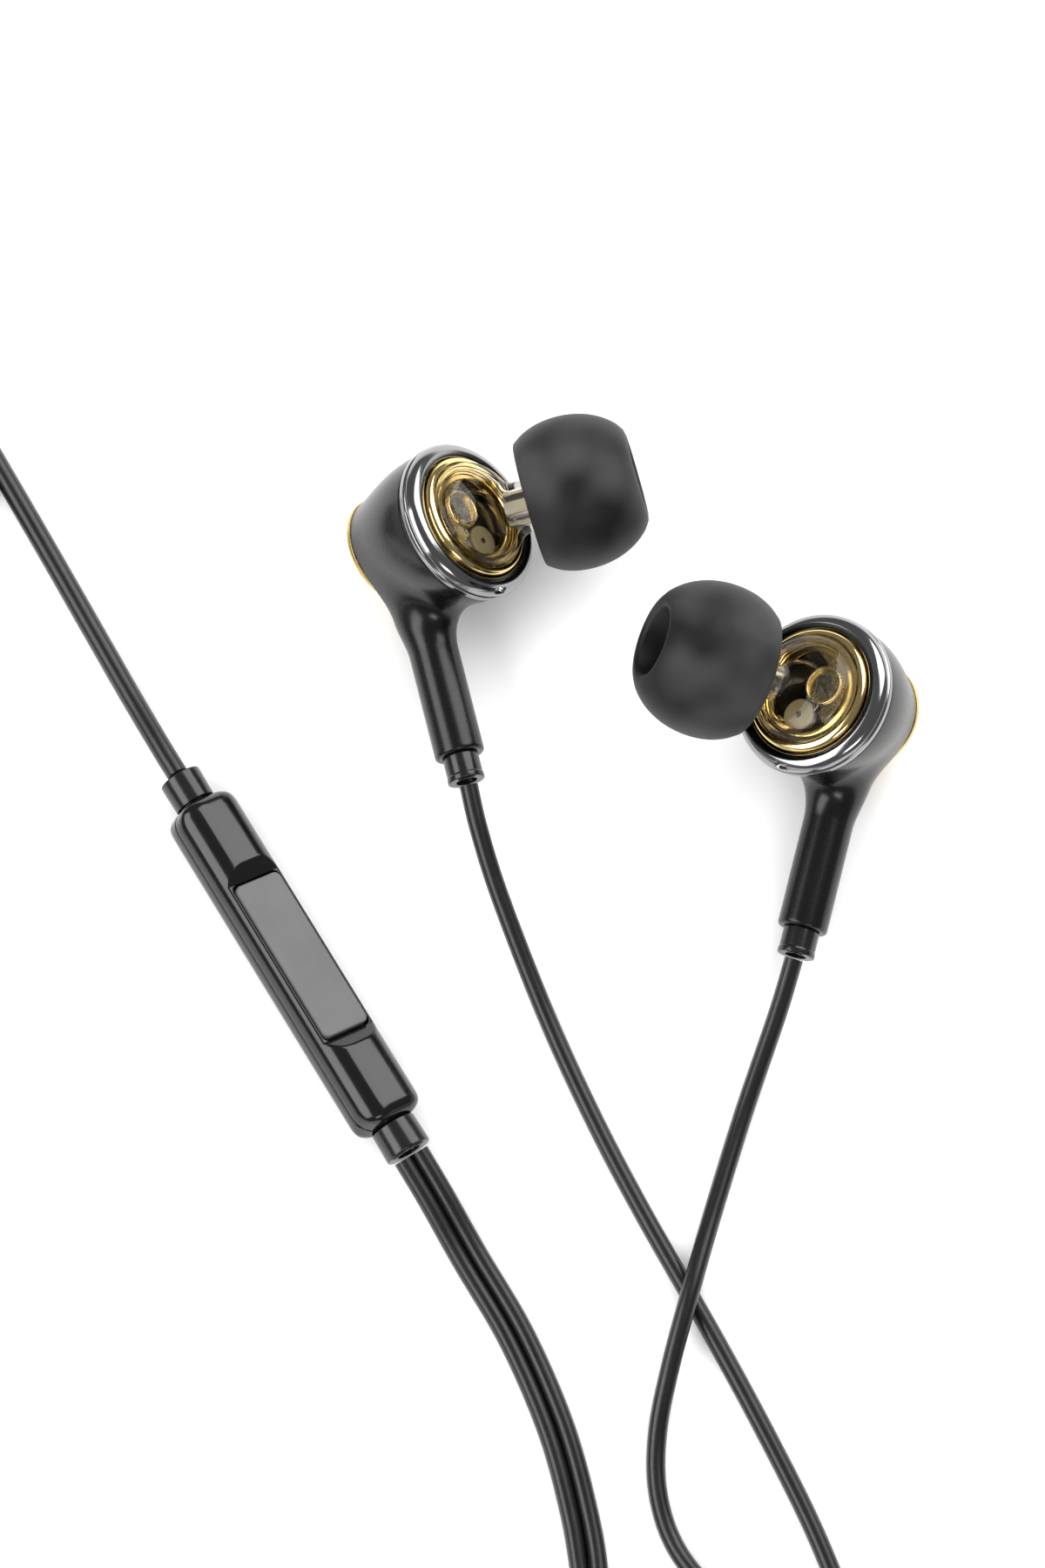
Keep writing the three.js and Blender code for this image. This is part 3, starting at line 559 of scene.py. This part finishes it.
def shellDistance(x, y, z):
    # Leaning cone whose side bulges as a sine, with a fillet to a round stem, then bored out.
    t = np.clip((z - housing["rear"]) / (housing["front"] - housing["rear"]), 0, 1)
    bulge = np.sin(t * np.pi / 2)**housing["bulge"]
    side = housing["rearRadius"] + (housing["frontRadius"] - housing["rearRadius"]) * bulge
    out = np.hypot(x, y - setOff(z))
    cone = (out - side) * 0.93  # 0.93 as the side slopes
    fromStem = np.hypot(x, z - stem["axis"])
    swell = smooth((stem["swellFrom"] + y) / stem["swellOver"])
    rod = blendMax(fromStem - stem["radius"] - stem["swell"] * swell, y, 0.5)
    body = blendMin(cone, rod, stem["fillet"])
    body = np.maximum(body, np.minimum(housing["rear"] - z, rod))
    body = blendMax(body, z - housing["front"], 0.15)
    body = np.maximum(body, housing["rim"] - z)
    body = blendMax(body, -stem["end"] - y, 0.35)
    seat = np.maximum(z - housing["rear"], out - housing["capSeat"])
    inside = out - np.maximum(side - housing["wall"], housing["narrowest"])
    bore = np.maximum(fromStem - stem["bore"], y + stem["boreFrom"])
    return np.maximum(body, -np.minimum(np.minimum(seat, inside), bore))


def domeDistance(out, z, radius, top):
    # Straight side up to the shoulder, and above it an ellipse that ends at the top.
    rise = top - cover["shoulder"]
    up = np.maximum(z - cover["shoulder"], 0) / rise
    ellipse = (np.sqrt((out / radius)**2 + up**2) - 1) * rise * 1.1
    return np.where(z < cover["shoulder"], out - radius, ellipse)


def coverDistance(x, y, z):
    # Low dome and the leaning nozzle with its barb, a small fillet between them, hollow.
    out = np.hypot(x, y)
    c, s = math.cos(nozzle["tilt"]), math.sin(nozzle["tilt"])
    u, w = (x - nozzle["offset"]) * c - z * s, (x - nozzle["offset"]) * s + z * c
    fromNozzle = np.hypot(u, y)
    onBarb = smooth((w - nozzle["barbFrom"]) / 0.3) * (1 - smooth((w - nozzle["barbTo"]) / 0.3))
    pipe = fromNozzle - nozzle["radius"] - nozzle["barb"] * onBarb
    pipe = np.maximum(np.maximum(pipe, w - nozzle["length"]), 0.6 - w)
    dome = domeDistance(out, z, cover["radius"], cover["top"])
    body = blendMin(np.maximum(dome, cover["foot"] - z), pipe, nozzle["fillet"])
    flange = np.maximum(out - cover["flange"], z - cover["flangeTop"])
    body = np.minimum(body, np.maximum(flange, cover["back"] - z))
    dome = domeDistance(out, z, cover["hollowRadius"], cover["hollowTop"])
    bore = np.maximum(fromNozzle - nozzle["bore"], -1.5 - w)
    hollow = blendMin(dome, bore, cover["hollowFillet"])
    return np.maximum(np.maximum(body, -hollow), cover["back"] - z)


tipStart = 3.22  # where the ear tip's rear edge lies along the nozzle


def tipOutline():
    # Rear edge, skirt and front from the outside, lip, bore, core sleeve, inside of the skirt.
    outer = through([(5.05, 0.05), (5.62, 0.95), (6.03, 2.1), (6.2, 3.4), (6.14, 4.7), (5.84, 6.0),
                     (5.28, 7.2), (4.5, 8.2), (3.75, 8.74)], 0.35)
    lip = [(3.3, 8.84), (3.05, 8.82), (2.86, 8.7), (2.76, 8.5)]
    inner = [(2.725, 7.9), (2.56, 7.5), (2.55, 1.3), (2.65, 1.2), (3.2, 1.2), (3.3, 1.3),
             (3.3, 6.1), (3.5, 6.5), (3.9, 6.7), (4.5, 6.0), (4.95, 5.3), (5.4, 3.9), (5.3, 2.5),
             (4.9, 1.2), (4.5, 0.2), (4.6, 0.0), (4.85, -0.05)]
    return np.vstack([outer, lip, inner]) + [0, tipStart]


letter = {"size": 2.1, "depth": 0.09, "bevel": 0.04}


def letterMesh(name, side, place, material):
    # The side mark, L or R, as a raised letter.
    curve = bpy.data.curves.new(name + "_curve", "FONT")
    curve.body = "L" if side > 0 else "R"
    curve.size, curve.extrude = letter["size"], letter["depth"]
    curve.bevel_depth = letter["bevel"]
    curve.bevel_resolution = 2
    curve.align_x, curve.align_y = "CENTER", "CENTER"
    temporary = bpy.data.objects.new(name + "_text", curve)
    bpy.context.collection.objects.link(temporary)
    evaluated = temporary.evaluated_get(bpy.context.evaluated_depsgraph_get())
    mesh = bpy.data.meshes.new_from_object(evaluated)
    bpy.data.objects.remove(temporary)
    co = np.empty(len(mesh.vertices) * 3, np.float32)
    mesh.vertices.foreach_get("co", co)
    origin, axes = place
    moved = (origin + co.reshape(-1, 3) @ axes) * mm
    mesh.vertices.foreach_set("co", moved.astype(np.float32).ravel())
    mesh.materials.clear()
    mesh.materials.append(material)
    obj = bpy.data.objects.new(name, mesh)
    bpy.context.collection.objects.link(obj)
    return obj


crescent = {"from": 38, "to": 232, "outer": 3.25, "wellAt": (1.9, 0.1), "wellRadius": 3.75,
            "narrowest": 1.0, "low": -1.28, "high": -0.34}


def crescentMesh(name, side, place, material):
    # Plate between the arc of the cover and an arc round the nozzle well: at each angle it runs
    # from the inner to the outer radius, and both meet at the crescent's two points.
    a = np.radians(np.linspace(crescent["from"], crescent["to"], 72))
    outer = crescent["outer"] + 0 * a
    well = np.array(crescent["wellAt"])
    # Distance along angle a from the axis to the circle round the well.
    toward = np.stack([np.cos(a), np.sin(a)], -1)
    b = toward @ well
    inner = b + np.sqrt(np.maximum(b**2 - well @ well + crescent["wellRadius"]**2, 0))
    inner = np.minimum(np.maximum(inner, crescent["narrowest"]), outer - 0.02)
    edge = np.minimum(0.08, (outer - inner) / 3)
    low, high = crescent["low"], crescent["high"]
    rows = [(inner, low), (inner, high - 0.06), (inner + edge, high), (outer - edge, high),
            (outer, high - 0.06), (outer, low)]
    pts = np.stack([np.stack([side * radius * np.cos(a), radius * np.sin(a), z + 0 * a], -1)
                    for radius, z in rows], 1)
    n = len(rows)
    faces = gridFaces(len(a), n).tolist()
    faces += [list(range(n))[::-1], list(range((len(a) - 1) * n, len(a) * n))]
    origin, axes = place
    pts = pts.reshape(-1, 3)
    return addMesh(name, (origin + pts @ axes) * mm, faces, material, 30, uv=pts[:, :2])


# Outlines below are (radius, height) or (radius, height, rounding).

def makeHousing(name, place):
    origin, axes = place
    stemPlace = (origin + stem["axis"] * axes[2], basis(axes[0], axes[2], -axes[1]))
    shell = surfaceOf(name + "_shell", shellDistance, (-6.9, -17.7, -10.8), (6.9, 6.9, -1.7),
                      housing["cell"], place, shellBlack)
    ready(shell, "satin_black", name + "_rear_shell")
    cap = rounded([(0, -10.32), (3.3, -10.32, 0.1), (3.55, -10.5, 0.15), (4.35, -10.5, 0.1),
                   (4.6, -10.25, 0.1), (4.6, -9.9, 0.05), (3.55, -9.9), (3.55, -9.3, 0.1),
                   (0, -9.3)])
    ready(lathe(name + "_cap", cap, place, capGold, 128, lean=setOff), "gold", name + "_rear_cap")
    collar = rounded([(0, 15.75), (1.05, 15.75, 0.1), (1.05, 17.4), (1.45, 17.4, 0.06),
                      (1.45, 19.0, 0.1), (1.5, 19.1, 0.05), (1.5, 19.5, 0.12), (0.85, 19.5, 0.05),
                      (0.85, 19.2), (0, 19.2)])
    ready(lathe(name + "_collar", collar, stemPlace, collarBlack, 64), "satin_black",
          name + "_stem_collar")


# Slot in the bezel's front band: its angle past the stem, the band's radius there, and the
# slot's half length, height and depth.
vent = {"past": 8, "radius": 6.2, "half": 0.35, "height": -0.62, "depth": 0.28, "beyond": 5.6}


def makeFront(name, side, place):
    def ventNotch(r, a, z):  # a short slot sunk into the front band, on the stem side
        away = a - math.radians(270 + vent["past"] * side)
        away = np.abs((away + np.pi) % (2 * np.pi) - np.pi) * vent["radius"]
        within = 1 - smooth((np.abs(z - vent["height"]) - 0.1) / 0.1)
        depth = vent["depth"] * (1 - smooth((away - vent["half"]) / 0.15)) * within
        depth = depth * (r > vent["beyond"])
        return r - depth, z - 0.5 * depth

    bezel = rounded([(5.35, -2.0), (6.5, -2.0, 0.12), (6.65, -1.85, 0.1), (6.66, -1.42, 0.12),
                     (6.5, -1.3, 0.05), (6.5, -1.2, 0.05), (6.62, -1.12, 0.12), (6.5, -0.75, 0.2),
                     (6.2, -0.45, 0.2), (5.8, -0.32, 0.15), (5.3, -0.42, 0.1), (5.16, -0.62, 0.1),
                     (5.2, -0.9), (5.35, -1.0), (5.35, -2.0)], 8)[:-1]
    ready(lathe(name + "_bezel_ring", bezel, place, chrome, 240, 40, ventNotch), "chrome",
          name + "_bezel")
    ring = rounded([(4.42, -0.9), (5.1, -0.9, 0.05), (5.1, -0.25, 0.2), (4.9, -0.05, 0.1),
                    (4.6, 0.02, 0.08), (4.56, -0.05), (4.42, -0.07), (4.42, -0.9)], 8)[:-1]
    ready(lathe(name + "_gold_ring", ring, place, gold, 160), "gold", name + "_trim_ring")
    clear = surfaceOf(name + "_cover", lambda x, y, z: coverDistance(side * x, y, z),
                      (-5.6, -5.6, -1.5) if side > 0 else (-9.6, -5.6, -1.5),
                      (9.6, 5.6, 9.6) if side > 0 else (5.6, 5.6, 9.6),
                      cover["cell"], place, smokyClear)
    ready(clear, "smoky_clear", name + "_front_cover")
    plate = rounded([(0, -1.6), (5.28, -1.6), (5.28, -1.3), (0, -1.3)])
    ready(lathe(name + "_plate", plate, place, gold), "gold", name + "_face_plate")
    # Painted shade: a thin black disc under the crescent that stands in for the dark hollow inside the nozzle,
    # seen through the clear cover.
    base = rounded([(0, -1.29), (3.3, -1.29), (3.3, -1.26), (0, -1.26)])
    ready(lathe(name + "_painted_shade_floor", base, place, blackAndWellShade), "gloss_black")
    ready(crescentMesh(name + "_crescent", side, place, plateGold), "gold")
    step = rounded([(3.2, -0.9), (4.41, -0.9), (4.41, -0.08), (4.12, -0.04, 0.03), (4.08, -0.12),
                    (3.88, -0.1, 0.02), (3.84, -0.2), (3.62, -0.17, 0.02), (3.58, -0.28),
                    (3.24, -0.27), (3.2, -0.4), (3.2, -0.9)])[:-1]
    ready(lathe(name + "_step_ring", step, place, gold, 128), "gold")


# Middles of what lies on the face plate, towards the nozzle and away from the stem.
onPlate = {"badge": (-1.3, 0.5), "disc": (0.45, -1.95), "well": (1.35, 0)}


def makeInside(name, side, place):
    origin, axes = place
    badgeAt, discAt, wellAt = [origin + axes[0] * (x * side) + axes[1] * y
                               for x, y in onPlate.values()]
    badge = rounded([(1.32, -1.25), (1.56, -1.25), (1.56, -0.2, 0.06), (1.44, -0.16, 0.06),
                     (1.34, -0.22, 0.05), (1.32, -0.4), (1.32, -1.25)])[:-1]
    ready(lathe(name + "_badge_rim", badge, (badgeAt, axes), plateGold, 64), "gold",
          name + "_side_badge")
    floor = rounded([(0, -1.25), (1.31, -1.25), (1.31, -0.5), (0, -0.5)])
    ready(lathe(name + "_badge_floor", floor, (badgeAt, axes), plateGold, 64), "gold")
    ready(letterMesh(name + "_badge_letter", side, (badgeAt - 0.34 * axes[2], axes), blackAndWellShade),
          "gold")
    disc = rounded([(0, -0.75), (0.22, -0.75), (0.26, -0.52, 0.05), (1.2, -0.5, 0.08),
                    (1.3, -0.6, 0.05), (1.3, -1.28), (0, -1.28)])
    ready(lathe(name + "_disc", disc, (discAt, axes), tan, 48), "white_plastic",
          name + "_damping_disc")
    pin = rounded([(0, -0.74), (0.17, -0.74), (0.17, -0.45, 0.08), (0, -0.42)])
    ready(lathe(name + "_disc_pin", pin, (discAt, axes), blackAndWellShade, 24), "gloss_black")
    well = rounded([(2.3, -1.28), (2.62, -1.28), (2.62, -0.8, 0.1), (2.45, -0.7, 0.1),
                    (2.3, -0.85, 0.05), (2.3, -1.28)])[:-1]
    ready(lathe(name + "_nozzle_well", well, (wellAt, axes), steel, 96), "steel")


def makeNozzle(name, out):
    pipe = rounded([(1.2, 1.2), (1.45, 1.2, 0.04), (1.45, 8.95, 0.04), (1.2, 8.95),
                    (1.2, 1.2)])[:-1]
    ready(lathe(name + "_inner_tube", pipe, out, steel, 64), "steel", name + "_sound_tube")
    gauze = rounded([(0, 9.0), (1.44, 9.0), (1.44, 9.4, 0.1), (0, 9.45)])
    ready(lathe(name + "_gauze", gauze, out, wireMesh, 48), "steel", name + "_sound_filter")
    ready(lathe(name + "_tip_skin", tipOutline(), out, silicone, 128, 60), "silicone",
          name + "_ear_tip", body=name + "_tip")


def makeBud(name, side):
    place = budPlace(name, side)
    makeHousing(name, place)
    makeFront(name, side, place)
    makeInside(name, side, place)
    makeNozzle(name, nozzlePlace(place, side))


makeBud("left", 1)
makeBud("right", -1)
print("earbuds ready")


# Halves are half lengths and widths. The room is the hollow for the board, and the cord holes run
# through both ends.
remote = {"half": (15.2, 3.0, 2.5), "corner": 2.0, "endRound": 1.5, "sideRound": 2.4, "flat": 1.55,
          "flatHalf": 7.35, "flatSlope": 1.4, "seam": 0.02, "seamEdge": 0.14, "slot": (7.33, 2.35),
          "slotCorner": 0.6, "slotFloor": 0.4, "room": (13.6, 2.1), "roomHeights": (-1.3, 0.85),
          "cordHole": 1.3, "cell": 0.12}
button = {"half": (7.1, 2.2), "corner": 0.55, "top": 1.8, "foot": 0.8, "edge": 0.15, "cell": 0.08}
# Radius, length and the end each is on.
sleeves = {"upper": (1.725, 2.55, -1), "lower": (1.9, 2.5, 1)}


def remotePlace():
    normal = -unit(slides["button_press"]["axis"])
    along = unit(np.cross(normal, [0, 0, 1]))
    across = np.cross(normal, along)
    return boxMiddle("remote_button") - 1.3 * normal, basis(along, across, normal)


def roundCorner(a, b, radius):  # distance to a round corner, from the distances past its two sides
    a, b = a + radius, b + radius
    return np.hypot(np.maximum(a, 0), np.maximum(b, 0)) + np.minimum(np.maximum(a, b), 0) - radius


def roundRect(x, y, halfX, halfY, corner):  # distance to a rectangle with round corners
    return roundCorner(np.abs(x) - halfX, np.abs(y) - halfY, corner)


def remoteDistance(x, y, z):
    # Bar of round section whose ends are rounded too, less the flat that the button lies in.
    hx, hy, hz = remote["half"]
    plan = roundRect(x, y, hx, hy, remote["corner"])
    ended = roundCorner(plan, np.abs(z) - hz, remote["endRound"])
    bar = blendMax(ended, roundRect(y, z, hy, hz, remote["sideRound"]), 0.3)
    rise = np.maximum(z - remote["flat"], 0)  # each end of the flat slopes up to the crest
    past = (np.abs(x) - remote["flatHalf"] - remote["flatSlope"] * rise) / 1.7
    bar = blendMax(bar, -np.maximum(remote["flat"] - z, past), 0.12)
    slot = roundRect(x, y, *remote["slot"], remote["slotCorner"])
    slot = np.maximum(slot, remote["slotFloor"] - z)
    halfX, halfY = remote["room"]
    low, high = remote["roomHeights"]
    room = np.maximum(np.abs(x) - halfX, np.abs(y) - halfY)
    room = np.maximum(room, np.maximum(low - z, z - high))
    holes = np.hypot(y, z) - remote["cordHole"]
    return np.maximum(bar, -np.minimum(np.minimum(slot, room), holes))


def halfDistance(x, y, z, side):  # the part of the remote above its seam, or below for side -1
    return blendMax(remoteDistance(x, y, z), remote["seam"] - side * z, remote["seamEdge"])


def buttonDistance(x, y, z):
    # Flat plate with a rounded top edge.
    edge, top = button["edge"], button["top"]
    plan = roundRect(x, y, *button["half"], button["corner"])
    rim = np.hypot(np.maximum(plan + edge, 0), np.maximum(z - top + edge, 0)) - edge
    within = (plan < -edge) & (z < top - edge)
    plate = np.maximum(np.where(within, np.maximum(plan, z - top), rim), plan)
    return np.maximum(plate, np.maximum(z - top, button["foot"] - z))


def makeRemote():
    place = remotePlace()
    origin, axes = place
    top = surfaceOf("remote_top", lambda x, y, z: halfDistance(x, y, z, 1), (-15.5, -3.3, -0.3),
                    (15.5, 3.3, 2.8), remote["cell"], place, remoteBlack)
    bottom = surfaceOf("remote_bottom", lambda x, y, z: halfDistance(x, y, z, -1),
                       (-15.5, -3.3, -2.8), (15.5, 3.3, 0.3), remote["cell"], place, remoteBlack)
    ready(top, "gloss_black", "remote_top_shell")
    ready(bottom, "gloss_black", "remote_bottom_shell")
    plate = surfaceOf("button_plate", buttonDistance, (-7.4, -2.5, 0.6), (7.4, 2.5, 2.0),
                      button["cell"], place, buttonGrey)
    ready(plate, "button_grey", "remote_button", body="button")
    start = remote["half"][0] + 0.05
    for name, (r, length, direction) in sleeves.items():
        end = start + length
        outline = rounded([(0, 13.05), (1.5, 13.05), (1.5, 13.55), (1.25, 13.55), (1.25, start),
                           (r - 0.05, start, 0.1), (r, end - 0.4, 0.3), (r, end, 0.15),
                           (1.0, end, 0.05), (1.0, end - 0.25), (0, end - 0.25)])
        collarAxes = basis(axes[1], np.cross(direction * axes[0], axes[1]), direction * axes[0])
        ready(lathe("remote_" + name + "_sleeve", outline, (origin, collarAxes), collarBlack, 72),
              "satin_black", "remote_" + name + "_collar")


makeRemote()
print("remote ready")


# The rear of the strain relief lies reliefLength behind the barrel.
plug = {"reliefLength": 7.05, "ribs": 5, "ribPitch": 1.25, "ribFirst": 0.5, "ribRadius": 1.4,
        "ribGrowth": 0.13, "pin": 1.75, "core": 0.95}


def pinRange(node, start):  # from where to where a contact lies along the plug
    low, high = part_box(node)
    return start[1] - high[1] / mm, start[1] - low[1] / mm


def makePlug():
    low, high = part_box("plug_barrel")
    start = np.array([(low[0] + high[0]) / 2, high[1], (low[2] + high[2]) / 2]) / mm
    start = start + [0, plug["reliefLength"], 0]
    place = (start, basis((1, 0, 0), (0, 0, 1), (0, -1, 0)))
    relief = [(0, 0), (1.3, 0, 0.1)]
    for k in range(plug["ribs"]):  # soft ribs of the strain relief
        z, r = plug["ribFirst"] + plug["ribPitch"] * k, plug["ribRadius"] + plug["ribGrowth"] * k
        relief += [(r, z, 0.15), (r, z + 0.8, 0.15), (r - 0.2, z + 0.95, 0.1),
                   (r - 0.2, z + 1.15, 0.1)]
    relief += [(2.05, 6.8, 0.1), (2.05, 7.0), (1.5, 7.0), (1.5, 10), (0, 10)]
    parts = [ready(lathe("plug_relief", rounded(relief), place, collarBlack, 64), "satin_black",
                   "plug_strain_relief")]
    barrel = rounded([(1.56, 7.05), (2.2, 7.05, 0.2), (2.9, 8.6, 0.5), (2.9, 22.6, 0.1),
                      (2.8, 22.7, 0.05), (2.8, 22.9, 0.05), (2.9, 23.0, 0.1), (2.9, 23.6, 0.2),
                      (2.5, 24.05, 0.1), (1.8, 24.05), (1.8, 21.05), (1.56, 21.05),
                      (1.56, 7.05)])[:-1]
    parts.append(ready(lathe("plug_handle", barrel, place, remoteBlack, 96), "gloss_black",
                       "plug_barrel"))
    core, pin = plug["core"], plug["pin"]
    for node in ("plug_sleeve_contact", "plug_mic_ring", "plug_right_ring"):
        near, far = pinRange(node, start)
        outline = rounded([(core, near), (pin, near, 0.06), (pin, far, 0.06), (core, far),
                           (core, near)])[:-1]
        parts.append(ready(lathe(node + "_band", outline, place, gold, 72), "gold", node))
    near, far = pinRange("plug_tip_contact", start)
    point = rounded([(core, near), (pin, near, 0.06), (pin, near + 0.4, 0.3),
                     (1.2, near + 1.2, 0.3), (pin, near + 2.1, 0.35), (0.35, far - 0.05, 0.25),
                     (0, far)])
    point = np.vstack([[0, near + 1.05], [core, near + 1.05], point])
    parts.append(ready(lathe("plug_point", point, place, gold, 72), "gold", "plug_tip_contact"))
    return parts + [frame["nodes"]["plug_insulator"]]


plugParts = makePlug()
print("plug ready")


# Each tie's place round its coil in degrees, and the bundle's width and height there.
ties = {"main_cord_tie": (mainCoil, 270, 10.7, 3.6), "branch_cord_tie": (branchCoil, 270, 4.7, 6.1)}
tieSection = [(0, -1.7), (0.3, -1.7), (0.38, -1.5), (0.38, 1.5), (0.3, 1.7), (0, 1.7)]


def makeTie(name, coil, at, width, height):
    # Band round a bundle: a flat strip that follows a round-cornered loop across it.
    angle = math.radians(at)
    inward = np.array([math.cos(angle), math.sin(angle), 0])
    along = np.array([-inward[1], inward[0], 0])
    middle = np.array([*coil["centre"], 0]) + inward * coil["radius"] + shift
    halfW, halfH = width / 2 + 0.15, height / 2 + 0.05
    corners = [(0, -halfH), (halfW, -halfH, 1.0), (halfW, halfH, 1.0), (-halfW, halfH, 1.0),
               (-halfW, -halfH, 1.0), (0, -halfH)]
    loop = evenly(rounded(corners, 8), 0.3)[:-1]
    out = unit(np.roll(loop, -1, 0) - np.roll(loop, 1, 0))
    out = np.stack([out[:, 1], -out[:, 0]], -1)
    rows = []
    for thick, across in tieSection:
        p = loop + out * thick
        height = (p[:, 1:] + halfH + 0.42) * [0, 0, 1]
        rows.append(middle + p[:, :1] * inward + height + across * along)
    pts = np.stack(rows, 1).reshape(-1, 3)
    faces = gridFaces(len(loop), len(tieSection), wrapRows=True)
    return addMesh(name, pts * mm, faces, collarBlack, 40)


mainTie, branchTie = [ready(makeTie(name, *sizes), "satin_black") for name, sizes in ties.items()]
print("ties ready")


# Carried-over parts inside the shells, by the ends of their names.
inner = {"driver_frame": steel, "diaphragm": filmClear, "voice_coil": copper,
         "driver_magnet": steel, "driver_board": boardGreen, "switch_plunger": whitePlastic,
         "switch_body": steel, "circuit_board": boardGreen, "microphone": steel,
         "mic_mesh": wireMesh, "insulator": bandBlack}
for name, node in frame["nodes"].items():
    for ending, material in inner.items():
        if name.endswith(ending):
            node.data.materials.clear()
            node.data.materials.append(material)
print("inner parts ready")


# In metres and watts. A light has its place, its two sides and its power, and aims at the
# middle of the table. The ceiling only lifts the table's shadows.
studio = {"table": 3.0, "world": 0.2,
          "lights": {"left window": ((-0.34, -0.09, 0.3), (0.5, 0.27), 1.9),
                     "right window": ((0.24, 0.29, 0.33), (0.42, 0.4), 2.1),
                     "near window": ((0.12, -0.4, 0.34), (0.22, 0.1), 0.5),
                     "ceiling": ((0, -0.03, 0.6), (1.0, 1.0), 4.5)}}


def addStage():
    size = studio["table"]
    corners = [(-size, -size, 0), (size, -size, 0), (size, size, 0), (-size, size, 0)]
    paper = finish("paper", (0.93, 0.93, 0.93), 0.6, scale=400, bump=0, spreadBy=0.05, tint=0.01)
    mesh = bpy.data.meshes.new("table")
    mesh.from_pydata(corners, [], [(0, 1, 2, 3)])
    mesh.materials.append(paper)
    table = bpy.data.objects.new("table", mesh)
    bpy.context.collection.objects.link(table)


def addLight(name, at, size, power):
    light = bpy.data.lights.new(name, "AREA")
    light.shape = "RECTANGLE"
    light.size, light.size_y = size
    light.energy = power
    obj = bpy.data.objects.new(name, light)
    bpy.context.collection.objects.link(obj)
    obj.location = at
    obj.rotation_euler = (-Vector(at)).to_track_quat("-Z", "Y").to_euler()
    return obj


addStage()
world = bpy.data.worlds.new("studio")
bpy.context.scene.world = world
world.use_nodes = True
background = world.node_tree.nodes["Background"]
background.inputs["Color"].default_value = (1, 1, 1, 1)
background.inputs["Strength"].default_value = studio["world"]
lamps = {name: addLight(name, *values) for name, values in studio["lights"].items()}
lamps["ceiling"].visible_glossy = False
bpy.context.scene.view_settings.view_transform = "Standard"
print("table and lights ready")
